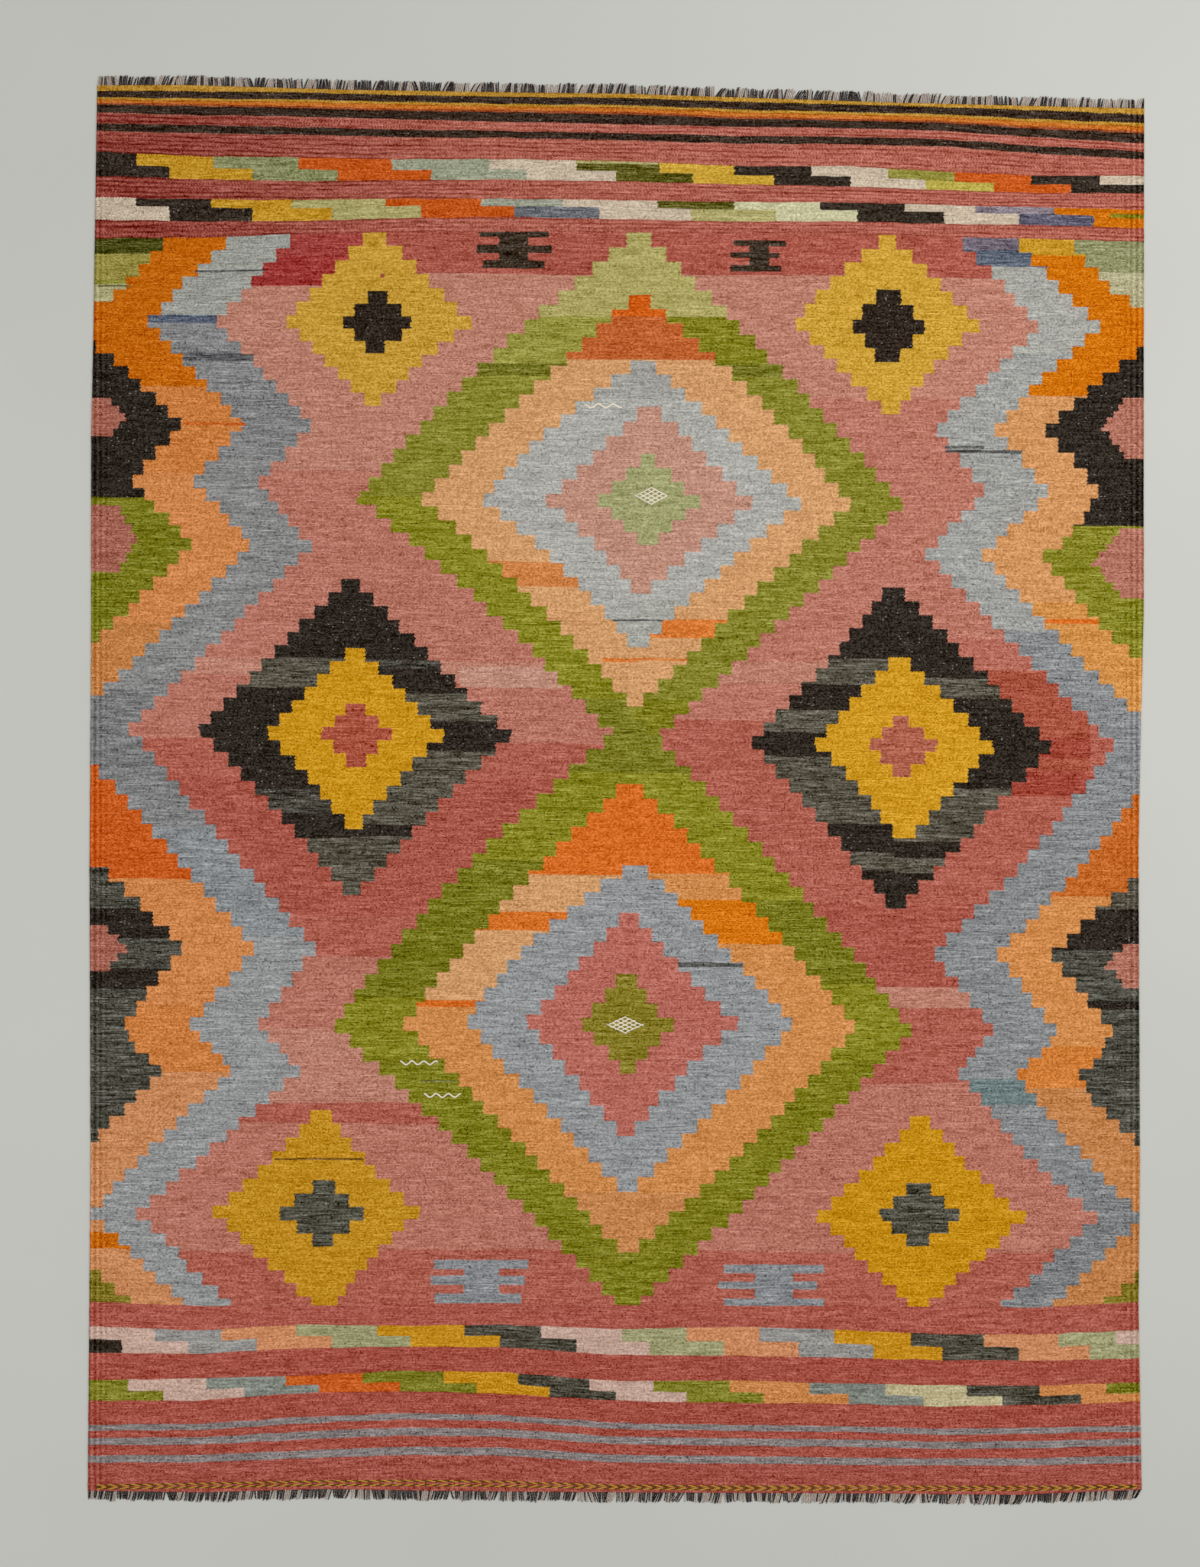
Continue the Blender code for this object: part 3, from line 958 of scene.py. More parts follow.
# %% The charts of the bars: left, right, top and foot in millimetres, and the shade
COMBS = (
    (-222, -167, 1056, 986, "comb black"),
    (-260, -127, 1056, 1045, "comb black"),
    (-266, -122, 1030, 1015, "comb black"),
    (-253, -137, 1001, 986, "comb black"),
    (253, 291, 1041, 982, "comb black"),
    (224, 323, 1041, 1030, "comb black"),
    (217, 310, 1018, 1008, "comb black"),
    (217, 314, 994, 982, "comb black"),
    (-289, -222, -897, -979, "comb blue"),
    (-346, -167, -897, -914, "comb blue"),
    (-352, -173, -927, -944, "comb blue"),
    (-344, -180, -960, -979, "comb blue"),
    (264, 336, -904, -984, "comb blue"),
    (205, 395, -904, -920, "comb blue"),
    (194, 382, -936, -950, "comb blue"),
    (205, 395, -968, -984, "comb blue"),
)
GROUND_PATCHES = (
    (-720, -440, 1055, 1012, "crimson stripe"),
    (-720, -440, 1012, 952, "crimson"),
    (-298, -100, 226, 188, "light rose"),
    (600, 900, 293, 234, "warm rose"),
    (600, 900, 234, 110, "side madder"),
    (600, 900, 110, 70, "crimson side"),
    (600, 900, 70, 43, "side madder"),
    (600, 900, 43, -3, "crimson side"),
)
ODD_THREADS = (
    (-648, -480, -705, -709, "thread brown"),
    (-448, -440, 976, 968, "deep madder"),
    (-800, -667, 987, 983, "thread dark"),
    (-985, -922, 956, 953, "thread green"),
    (-822, -704, 690, 684, "thread orange"),
    (-6, 88, 321, 317, "thread dark"),
    (-26, 40, 246, 240, "soft orange"),
    (-372, -306, -557, -560, "thread green"),
    (626, 770, 648, 642, "thread dark"),
    (626, 700, 655, 650, "thread dark"),
    (-76, 80, 1191, 1186, "straw"),
    (939, 1010, 1108, 1099, "thread lime"),
)


def bar(tree, across, along, left, right, top, foot):
    """The mask of one level bar."""
    past_left = calc(tree, "GREATER_THAN", across, left * MM)
    before_right = calc(tree, "LESS_THAN", across, right * MM)
    below_top = calc(tree, "LESS_THAN", along, top * MM)
    above_foot = calc(tree, "GREATER_THAN", along, foot * MM)
    beside = calc(tree, "MULTIPLY", past_left, before_right)
    between = calc(tree, "MULTIPLY", below_top, above_foot)
    return calc(tree, "MULTIPLY", beside, between)


print(len(COMBS), "bars make the four combs")

# %% [markdown]
# ## The bands at the two ends
# Above and below the field run stripes, and between them rows of staggered bricks. The stripes are a
# ramp over the rows of the loom, and each half row of bricks is a ramp over the warps. A ramp is only
# so fine, so each half row is split at the middle of the rug.

# %% The chart of the brick rows: top, foot, and for each brick its shade and right end
BRICK_ROWS = (
    (
        1191, 1172,
        (
            ("brick black", -914), ("gold", -768), ("sage", -605), ("orange red", -429),
            ("grey sage", -241), ("pale pink", -76), ("bottle green", 80), ("light gold", 224),
            ("brick black", 369), ("pale pink", 514), ("brick grass", 640), ("orange red", 787),
            ("brick black", 918), ("pale pink", 1003),
        ),
    ),
    (
        1172, 1153,
        (
            ("brick black", -852), ("gold", -692), ("sage", -532), ("orange red", -353),
            ("grey sage", -173), ("pale pink", -2), ("bottle green", 143), ("light gold", 296),
            ("brick black", 445), ("pale pink", 587), ("lime", 718), ("orange red", 864),
            ("brick black", 1003),
        ),
    ),
    (
        1117, 1103,
        (
            ("pale pink", -915), ("brick black", -772), ("gold", -619), ("straw", -439),
            ("orange red", -260), ("pale teal", -103), ("pale pink", 76), ("bottle green", 224),
            ("mint", 385), ("brick black", 545), ("pale pink", 682), ("brick lavender", 830),
            ("brick amber", 1003),
        ),
    ),
    (
        1103, 1081,
        (
            ("pale pink", -850), ("brick black", -692), ("gold", -542), ("straw", -374),
            ("orange red", -196), ("slate blue", -32), ("pale pink", 141), ("straw", 302),
            ("mint", 457), ("brick black", 621), ("pale pink", 764), ("violet slate", 907),
            ("brick amber", 1003),
        ),
    ),
    (
        -1028, -1052,
        (
            ("foot pink", -876), ("foot blue grey", -753), ("foot peach brick", -611),
            ("foot sage", -456), ("foot brick gold", -290), ("foot charcoal", -144),
            ("foot pink", 11), ("foot sage", 133), ("foot peach brick", 272),
            ("foot blue grey", 414), ("foot brick gold", 560), ("foot charcoal", 695),
            ("foot peach brick", 838), ("foot sage", 950), ("foot pink", 994),
        ),
    ),
    (
        -1052, -1077,
        (
            ("brick black", -940), ("foot pink", -816), ("foot blue grey", -684),
            ("foot peach brick", -543), ("foot sage", -394), ("foot brick gold", -221),
            ("foot charcoal", -78), ("foot pink", 62), ("foot sage", 205),
            ("foot peach brick", 345), ("foot blue grey", 486), ("foot brick gold", 616),
            ("foot charcoal", 765), ("foot peach brick", 897), ("foot sage", 994),
        ),
    ),
    (
        -1127, -1147,
        (
            ("foot green brick", -931), ("foot pink", -778), ("foot teal", -631),
            ("foot orange brick", -484), ("foot green brick", -328), ("foot brick gold", -186),
            ("foot charcoal", -55), ("foot pink", 70), ("foot green brick", 215),
            ("foot apricot brick", 365), ("foot teal", 512), ("cream", 663),
            ("foot charcoal", 804), ("foot apricot brick", 929), ("foot green brick", 996),
        ),
    ),
    (
        -1147, -1164,
        (
            ("foot green brick", -861), ("foot pink", -707), ("foot teal", -566),
            ("foot orange brick", -414), ("foot green brick", -265), ("foot brick gold", -129),
            ("foot charcoal", 0), ("foot pink", 131), ("foot green brick", 279),
            ("foot apricot brick", 441), ("foot teal", 581), ("cream", 733),
            ("foot charcoal", 881), ("foot apricot brick", 996),
        ),
    ),
)

# %% The chart of the stripes
HEAD_STRIPES = (
    (1345, "stripe gold"),
    (1311, "stripe black"),
    (1297, "stripe gold"),
    (1293, "stripe amber"),
    (1290, "stripe orange"),
    (1284, "stripe rust"),
    (1280, "stripe black"),
    (1260, "stripe pink"),
    (1244, "stripe black"),
    (1230, "stripe pink"),
)
FOOT_STRIPES = (
    (-980, "band pink"),
    (-1062, "band red"),
    (-1207, "stripe blue"),
    (-1218, "band red"),
    (-1233, "stripe blue"),
    (-1247, "band red"),
    (-1267, "stripe blue"),
    (-1282, "foot red"),
)
FIELD_TOP, FIELD_FOOT = 1055, -1000


def brick_half(tree, across, bricks, left, right):
    """One half of a row of bricks, from a ramp over the warps."""
    share = stretch(tree, across, left * MM, right * MM)
    made = tree.nodes.new("ShaderNodeValToRGB")
    wire(tree, share, made.inputs["Fac"])
    ramp = made.color_ramp
    ramp.interpolation = "CONSTANT"
    start = -1010
    first = True
    for shade, end in bricks:
        if end > left and start < right:
            at = max((start - left) / (right - left), 0.0)
            stop = ramp.elements[0] if first else ramp.elements.new(at)
            stop.color = yarn(shade)
            first = False
        start = end
    ramp.elements[-1].color = ramp.elements[-2].color
    return made.outputs["Color"]


def brick_row(tree, across, bricks):
    """A half row from selvedge to selvedge."""
    left = brick_half(tree, across, bricks, -1010, 0)
    right = brick_half(tree, across, bricks, 0, 1010)
    return blend_colour(tree, calc(tree, "GREATER_THAN", across, 0.0), left, right)


print(len(BRICK_ROWS), "half rows of bricks")


# %% [markdown]
# ## The whole chart
# The chart is one node group: it takes the two numbers of the cloth's map and gives the colour of the
# yarn there. It lays one part of the pattern over another, as a painter would: the ground first, then
# the side borders, the diamonds from the outside in, the combs, and last the bands of the two ends.
# Before anything is looked up, the place is shaken a little. The shake has the pitch of the warps and
# wefts, so every edge gets the fine teeth of a woven one.

# %% The teeth of a woven edge
WARP_PAIR = 0.0055
WEFT_TOOTH = 0.0036


def build_woven_edges():
    """Moves the place by less than a thread, in steps as fine as the weave."""
    names = [("Across", NUMBER), ("Along", NUMBER)]
    tree, given, result = new_group("Woven edges", names, names)
    tooth = calc(tree, "PINGPONG", given["Across"], WARP_PAIR / 2)
    tooth = calc(tree, "MULTIPLY_ADD", tooth, 0.55, -0.00076)
    waver = fleece_noise(tree, given["Across"], given["Along"], 0.050, 0.012, 1.0, 11.0)
    waver = calc(tree, "MULTIPLY_ADD", waver, 0.0036, -0.0018)
    along_now = calc(tree, "ADD", calc(tree, "ADD", given["Along"], tooth), waver)
    turn = fleece_noise(tree, given["Across"], given["Along"], 0.040, WEFT_TOOTH, 0.0, 23.0)
    turn = calc(tree, "MULTIPLY_ADD", turn, 0.0060, -0.0030)
    tree.links.new(calc(tree, "ADD", given["Across"], turn), result["Across"])
    tree.links.new(along_now, result["Along"])
    return tree


woven_edges = build_woven_edges()
print(woven_edges.name, "has", len(woven_edges.nodes), "nodes")


# %% The side borders
def side_border(tree, colour, across, along, turns, side, outside):
    """Lays the three zigzags of one side over the ground."""
    top, foot = FIELD_TOP, FIELD_FOOT
    for name in ("blue", "peach", "black"):
        edge = zigzag_edge(tree, turns["Step"], turns["Number"], f"{side}_{name}")
        mask = calc(tree, outside, across, edge)
        colour = blend_colour(tree, mask, colour, lots_of(tree, along, f"{side}_{name}", top, foot))
    return colour


EDGE_ROSES = (
    (-1000, 735, 698, 661, 42, -1080, -933, 2, "edge rose"),
    (-1000, 526, 462, 397, 57, -1090, -912, 3, "edge rose"),
    (-1000, -270, -312, -355, 36, -1080, -932, 2, "edge rose"),
    (1000, 747, 690, 633, 34, 925, 1080, 4, "right edge rose"),
    (1000, 505, 440, 374, 42, 906, 1090, 4, "right edge rose"),
    (1000, -288, -330, -372, 36, 931, 1080, 2, "right edge rose"),
)


def edge_rose(tree, colour, across, along, rose):
    """Half a small diamond that the selvedge cuts through."""
    centre, top, middle, foot, half, left, right, steps, shade = rose
    mask = use_group(
        tree,
        stepped_diamond,
        Across=across,
        Along=along,
        Top=top * MM,
        Middle=middle * MM,
        Foot=foot * MM,
        Left_tip=left * MM,
        Right_tip=right * MM,
        Top_centre=centre * MM,
        Top_half=half * MM,
        Foot_centre=centre * MM,
        Foot_half=half * MM,
        Steps=float(steps),
    )["Inside"]
    return blend_colour(tree, mask, colour, yarn(shade))


print(len(EDGE_ROSES), "small diamonds stand on the selvedges")


# %% The diamonds, from the outside in
def medallions(tree, colour, across, along):
    """The two big medallions of the middle."""
    for place, top, foot, middle in (("upper", 1060, 60, 30), ("lower", 140, -995, 30)):
        for ring in ("green", "peach", "blue"):
            name = f"{place}_{ring}"
            mask = diamond(tree, across, along, name)
            if name + " left" in LOTS:
                yarns = two_arms(tree, across, along, name, top, foot, middle * MM)
            colour = blend_colour(tree, mask, colour, yarns)
    for name, shade in (
        ("upper_rose", "rose heart"),
        ("upper_heart", "pale heart green"),
        ("lower_rose", "lower rose"),
        ("lower_heart", "dark heart green"),
    ):
        colour = blend_colour(tree, diamond(tree, across, along, name), colour, yarn(shade))
    return colour


def small_diamonds(tree, colour, across, along):
    """The six small ones: gold with a dark eye at the corners, dark with a gold ring at the sides."""
    for side, middle in (("left", -502), ("right", 529)):
        name = f"{side}_dark"
        yarns = two_arms(tree, across, along, name, 400, -230, middle * MM)
        colour = blend_colour(tree, diamond(tree, across, along, name), colour, yarns)
    for name, shade in (
        ("left_gold", "eye gold"),
        ("left_rose", "madder heart"),
        ("right_gold", "bright eye gold"),
        ("right_rose", "soft heart"),
        ("head_left_gold", "head gold"),
        ("head_left_eye", "eye black"),
        ("head_right_gold", "head bright gold"),
        ("head_right_eye", "eye black"),
        ("foot_left_gold", "foot gold"),
        ("foot_left_eye", "eye charcoal"),
        ("foot_right_gold", "foot bright gold"),
        ("foot_right_eye", "eye charcoal"),
    ):
        colour = blend_colour(tree, diamond(tree, across, along, name), colour, yarn(shade))
    return colour


# %% The bands of the ends
def picked_pink(tree, across, along):
    """Pink with single dark red picks, some plain and some in ticks; all of it deeper at the left."""
    to_middle = stretch(tree, across, -0.85, -0.25)
    pink = blend_colour(tree, to_middle, yarn("left pink"), yarn("stripe pink"))
    pick = blend_colour(tree, to_middle, yarn("left pick"), yarn("red pick"))
    wander = fleece_noise(tree, across, along, 0.30, 0.10, 1.0, 29.0)
    row = calc(tree, "PINGPONG", calc(tree, "MULTIPLY_ADD", wander, 0.008, along), 0.0040)
    dark_row = calc(tree, "GREATER_THAN", row, 0.0023)
    tick = calc(tree, "GREATER_THAN", calc(tree, "PINGPONG", across, WARP_PAIR / 2), 0.0013)
    plain = fleece_noise(tree, across, along, 0.22, 0.009, 1.0, 31.0)
    plain = calc(tree, "GREATER_THAN", calc(tree, "MULTIPLY_ADD", to_middle, -0.12, plain), 0.44)
    shown = calc(tree, "MULTIPLY", dark_row, calc(tree, "MAXIMUM", tick, plain))
    return blend_colour(tree, shown, pink, pick)


def end_bands(tree, colour, across, along):
    """Stripes and bricks, laid over the field's two ends."""
    head = lot_bands(tree, along, HEAD_STRIPES, 1345, 1050)
    pink = picked_pink(tree, across, along)
    upper_pink = bar(tree, across, along, -1100, 1100, 1260, 1244)
    lower_pink = bar(tree, across, along, -1100, 1100, 1230, 1050)
    head = blend_colour(tree, calc(tree, "ADD", upper_pink, lower_pink), head, pink)
    foot = lot_bands(tree, along, FOOT_STRIPES, -975, -1345)
    colour = blend_colour(tree, calc(tree, "GREATER_THAN", along, 1055 * MM), colour, head)
    colour = blend_colour(tree, calc(tree, "LESS_THAN", along, -982 * MM), colour, foot)
    for top, lower, bricks in BRICK_ROWS:
        below_top = calc(tree, "LESS_THAN", along, top * MM)
        above_foot = calc(tree, "GREATER_THAN", along, lower * MM)
        mask = calc(tree, "MULTIPLY", below_top, above_foot)
        colour = blend_colour(tree, mask, colour, brick_row(tree, across, bricks))
    return colour


# %% Build the chart
def build_kilim_chart():
    names = [("Across", NUMBER), ("Along", NUMBER)]
    tree, given, result = new_group("Kilim chart", names, [("Yarn", COLOUR)])
    place = use_group(tree, woven_edges, Across=given["Across"], Along=given["Along"])
    across, along = place["Across"], place["Along"]
    drift = fleece_noise(tree, across, along, 0.30, 0.02, 2.0, 5.0)
    lot_along = calc(tree, "ADD", along, calc(tree, "MULTIPLY_ADD", drift, 0.010, -0.005))
    ground = two_arms(tree, across, lot_along, "ground", FIELD_TOP, FIELD_FOOT, 0.0)
    for left, right, top, foot, shade in GROUND_PATCHES:
        mask = bar(tree, across, lot_along, left, right, top, foot)
        ground = blend_colour(tree, mask, ground, yarn(shade))
    turns = use_group(tree, zigzag_step, Along=along)
    colour = side_border(tree, ground, across, along, turns, "left", "LESS_THAN")
    colour = side_border(tree, colour, across, along, turns, "right", "GREATER_THAN")
    for rose in EDGE_ROSES:
        colour = edge_rose(tree, colour, across, along, rose)
    colour = medallions(tree, colour, across, along)
    colour = small_diamonds(tree, colour, across, along)
    for left, right, top, foot, shade in COMBS:
        mask = bar(tree, across, along, left, right, top, foot)
        colour = blend_colour(tree, mask, colour, yarn(shade))
    colour = end_bands(tree, colour, across, along)
    for left, right, top, foot, shade in ODD_THREADS:
        mask = bar(tree, across, along, left, right, top, foot)
        colour = blend_colour(tree, mask, colour, yarn(shade))
    tree.links.new(colour, result["Yarn"])
    return tree


kilim_chart = build_kilim_chart()
print(kilim_chart.name, "has", len(kilim_chart.nodes), "nodes")

# %% [markdown]
# ## The weave and its wool
# A weft-faced weave is all crowns: each weft passes over one warp and under the next, and its neighbour
# does the opposite, so the crowns stand like bricks. One group works out which crown a point is in. It
# gives the crown's height for a Bump node and for the painted shade between the crowns, a chance number
# for each half crown, and one for each weft, which changes slowly along the row as hand-spun yarn does.

# %% Build the weave
WEFT_PITCH = 0.0021


def build_weft_faced_weave():
    names = [("Across", NUMBER), ("Along", NUMBER)]
    outputs = [("Height", NUMBER), ("Crown", NUMBER), ("Weft", NUMBER)]
    tree, given, result = new_group("Weft-faced weave", names, outputs)
    across, along = given["Across"], given["Along"]
    beat = fleece_noise(tree, across, along, 0.120, 0.018, 1.0, 37.0)
    beaten = calc(tree, "MULTIPLY_ADD", beat, 0.0060, along)
    place = calc(tree, "DIVIDE", beaten, WEFT_PITCH)
    row = calc(tree, "FLOOR", place)
    row_share = calc(tree, "FRACT", place)
    brick = calc(tree, "FRACT", calc(tree, "MULTIPLY", row, 0.5))
    column_place = calc(tree, "MULTIPLY_ADD", across, 1 / WARP_PAIR, brick)
    strand = calc(tree, "FLOOR", calc(tree, "MULTIPLY", column_place, 2.0))
    column_share = calc(tree, "FRACT", column_place)
    rise = calc(tree, "PINGPONG", column_share, 0.5)
    swell = calc(tree, "PINGPONG", row_share, 0.5)
    height = calc(tree, "SQRT", calc(tree, "MULTIPLY", calc(tree, "MULTIPLY", rise, swell), 4.0))
    tree.links.new(height, result["Height"])
    cell = tree.nodes.new("ShaderNodeCombineXYZ")
    tree.links.new(strand, cell.inputs["X"])
    tree.links.new(row, cell.inputs["Y"])
    dice = tree.nodes.new("ShaderNodeTexWhiteNoise")
    dice.noise_dimensions = "2D"
    tree.links.new(cell.outputs[0], dice.inputs["Vector"])
    tree.links.new(dice.outputs["Value"], result["Crown"])
    spun = fleece_noise(tree, across, row, 0.045, 0.137, 1.0, 3.0)
    tree.links.new(spun, result["Weft"])
    return tree


weft_faced_weave = build_weft_faced_weave()
print(weft_faced_weave.name, "has", len(weft_faced_weave.nodes), "nodes")

# %% [markdown]
# Carded by hand and dyed in the hank, wool is never one even colour: each weft runs lighter and darker,
# each crown catches the light in its own way, and each batch fades a little differently. These changes
# look even to the eye from black to cream, so they are added on an eye-even scale: a Gamma node turns
# the yarn's colour into that scale, and another turns it back. Greys, blues and greens were spun from
# mixed fleeces and are streaky. Bright gold and orange are smooth. The shade's own strength tells which.
# Here and there a crown is missing: a dark painted shade stands for its pinhole, or in black wool a pale
# speck of warp shows. The crowns' height is painted in as shade too: their tops lighter, the gaps between
# them darker. At the selvedges the outer warps are doubled, and their upright ribs are painted in as
# stripes of light and shade.

# %% Build the wool
EYE_SCALE = 2.2
SELVEDGE_RIB = 0.0055


def build_wool_tone_and_shade():
    inputs = [("Yarn", COLOUR), ("Across", NUMBER), ("Along", NUMBER)]
    inputs += [("Height", NUMBER), ("Crown", NUMBER), ("Weft", NUMBER)]
    tree, given, result = new_group("Wool tone and painted shade", inputs, [("Colour", COLOUR)])
    across, along = given["Across"], given["Along"]
    to_eye = tree.nodes.new("ShaderNodeGamma")
    to_eye.inputs["Gamma"].default_value = 1 / EYE_SCALE
    tree.links.new(given["Yarn"], to_eye.inputs["Color"])
    parts = tree.nodes.new("ShaderNodeSeparateColor")
    parts.mode = "HSV"
    tree.links.new(to_eye.outputs[0], parts.inputs[0])
    strength = tree.nodes.new("ShaderNodeFloatCurve")
    line = strength.mapping.curves[0]
    line.points[0].location = (0.0, 0.20)
    line.points[1].location = (1.0, 0.18)
    for place in ((0.18, 0.25), (0.32, 0.85), (0.50, 0.64), (0.64, 0.48), (0.78, 0.36)):
        line.points.new(*place)
    strength.mapping.update()
    tree.links.new(parts.outputs[2], strength.inputs["Value"])
    mixed = strength.outputs[0]
    batch = fleece_noise(tree, across, along, 0.300, 0.014, 2.0, 7.0)
    streaks = calc(tree, "MULTIPLY_ADD", calc(tree, "SUBTRACT", given["Weft"], 0.5), 0.60, 0.0)
    streaks = calc(tree, "MULTIPLY_ADD", calc(tree, "SUBTRACT", batch, 0.5), 0.15, streaks)
    streaks = calc(tree, "MULTIPLY", streaks, mixed)
    mottle_and_painted_shade = calc(tree, "MULTIPLY_ADD", calc(tree, "SUBTRACT", given["Crown"], 0.5), 0.18, streaks)
    # Painted shade: the crown's top is made lighter and the gaps between crowns darker.
    mottle_and_painted_shade = calc(tree, "MULTIPLY_ADD", calc(tree, "SUBTRACT", given["Height"], 0.444), 0.10, mottle_and_painted_shade)
    # Painted shade: a few crowns are darkened to stand for the shade in a pinhole of the weave.
    painted_pinhole_shade = calc(tree, "MULTIPLY", calc(tree, "LESS_THAN", given["Crown"], 0.03), mixed)
    mottle_and_painted_shade = calc(tree, "MULTIPLY_ADD", painted_pinhole_shade, -0.22, mottle_and_painted_shade)
    darkness = calc(tree, "POWER", calc(tree, "SUBTRACT", 1.0, parts.outputs[2]), 4.0)
    peep = calc(tree, "MULTIPLY", calc(tree, "GREATER_THAN", given["Crown"], 0.993), darkness)
    mottle_and_painted_shade = calc(tree, "MULTIPLY_ADD", peep, 0.45, mottle_and_painted_shade)
    # Painted light and shade: the ribs of the doubled outer warps are drawn as light and dark stripes.
    rib_shade_share = stretch(tree, calc(tree, "ABSOLUTE", across), 0.960, 0.985)
    painted_rib_shade = calc(tree, "SUBTRACT", calc(tree, "PINGPONG", across, SELVEDGE_RIB), SELVEDGE_RIB / 2)
    painted_rib_shade = calc(tree, "MULTIPLY_ADD", painted_rib_shade, 0.16 / SELVEDGE_RIB, -0.02)
    mottle_and_painted_shade = calc(tree, "MULTIPLY_ADD", rib_shade_share, painted_rib_shade, mottle_and_painted_shade)
    added = tree.nodes.new("ShaderNodeVectorMath")
    added.operation = "ADD"
    tree.links.new(to_eye.outputs[0], added.inputs[0])
    tree.links.new(mottle_and_painted_shade, added.inputs[1])
    floor_value = tree.nodes.new("ShaderNodeVectorMath")
    floor_value.operation = "MAXIMUM"
    tree.links.new(added.outputs[0], floor_value.inputs[0])
    floor_value.inputs[1].default_value = (0.01, 0.01, 0.01)
    to_light = tree.nodes.new("ShaderNodeGamma")
    to_light.inputs["Gamma"].default_value = EYE_SCALE
    tree.links.new(floor_value.outputs[0], to_light.inputs["Color"])
    tree.links.new(to_light.outputs[0], result["Colour"])
    return tree


wool_tone_and_shade = build_wool_tone_and_shade()
print(wool_tone_and_shade.name, "has", len(wool_tone_and_shade.nodes), "nodes")


# %% The kilim's material
def plain_shader(name, roughness):
    """A new material with its Principled shader, matt as wool is."""
    material = bpy.data.materials.new(name)
    material.use_nodes = True
    shader = material.node_tree.nodes["Principled BSDF"]
    shader.inputs["Roughness"].default_value = roughness
    shader.inputs["Specular IOR Level"].default_value = 0.02
    return material, material.node_tree, shader


def cloth_place(tree):
    """The two numbers of the cloth's map."""
    chart = tree.nodes.new("ShaderNodeUVMap")
    chart.uv_map = "ClothMap"
    parts = tree.nodes.new("ShaderNodeSeparateXYZ")
    tree.links.new(chart.outputs["UV"], parts.inputs[0])
    return parts.outputs["X"], parts.outputs["Y"]


def kilim_wool_material():
    material, tree, shader = plain_shader("kilim_wool_woven", 0.92)
    across, along = cloth_place(tree)
    chart = use_group(tree, kilim_chart, Across=across, Along=along)["Yarn"]
    weave = use_group(tree, weft_faced_weave, Across=across, Along=along)
    crowns = {label: weave[label] for label in ("Height", "Crown", "Weft")}
    wool = use_group(tree, wool_tone_and_shade, Yarn=chart, Across=across, Along=along, **crowns)
    tree.links.new(wool["Colour"], shader.inputs["Base Color"])
    bump = tree.nodes.new("ShaderNodeBump")
    bump.inputs["Strength"].default_value = 0.6
    bump.inputs["Distance"].default_value = 0.0005
    tree.links.new(weave["Height"], bump.inputs["Height"])
    tree.links.new(bump.outputs["Normal"], shader.inputs["Normal"])
    return material


cloth_data.materials.append(kilim_wool_material())
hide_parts("kilim")
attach(cloth, "root")
print("the cloth is dressed")

# %% [markdown]
# ## Yarn that stands on the cloth
# The cut warp ends, the twined line at the foot and the white ties are single yarns, so they are small
# tubes. Each is swept along a line of points with a few sides, and a number on its points says which
# yarn it is. Hundreds of them are joined in one mesh.


# %% Sweep a yarn along its points
class YarnMesh:
    """Collects tubes, then turns them all into one mesh."""

    def __init__(self):
        self.points, self.faces, self.tones = [], [], []

    def sweep(self, line, radii, sides, tone):
        """A closed tube along a line of points, with its own radius at each."""
        line = [Vector(p) for p in line]
        start = len(self.points)
        for i, (here, radius) in enumerate(zip(line, radii)):
            before, after = line[max(i - 1, 0)], line[min(i + 1, len(line) - 1)]
            run = (after - before).normalized()
            side = run.cross(Vector((0, 0, 1)))
            side = side.normalized() if side.length > 1e-6 else Vector((1, 0, 0))
            up = side.cross(run)
            for k in range(sides):
                turn = 2 * math.pi * k / sides
                self.points.append(here + radius * (math.cos(turn) * side + math.sin(turn) * up))
                self.tones.append(tone)
        for i in range(len(line) - 1):
            ring = start + i * sides
            for k in range(sides):
                n = (k + 1) % sides
                self.faces.append((ring + k, ring + n, ring + sides + n, ring + sides + k))
        last = start + (len(line) - 1) * sides
        self.faces.append(tuple(start + k for k in reversed(range(sides))))
        self.faces.append(tuple(last + k for k in range(sides)))

    def finish(self, name, material):
        """The joined mesh as an object, smooth and with its tones stored."""
        mesh = bpy.data.meshes.new(name)
        mesh.from_pydata([tuple(p) for p in self.points], [], self.faces)
        mesh.polygons.foreach_set("use_smooth", [True] * len(mesh.polygons))
        stored = mesh.attributes.new("yarn_tone", "FLOAT", "POINT")
        stored.data.foreach_set("value", self.tones)
        mesh.materials.append(material)
        made = bpy.data.objects.new(name, mesh)
        bpy.context.scene.collection.objects.link(made)
        print(name, "has", len(mesh.polygons), "faces")
        return made


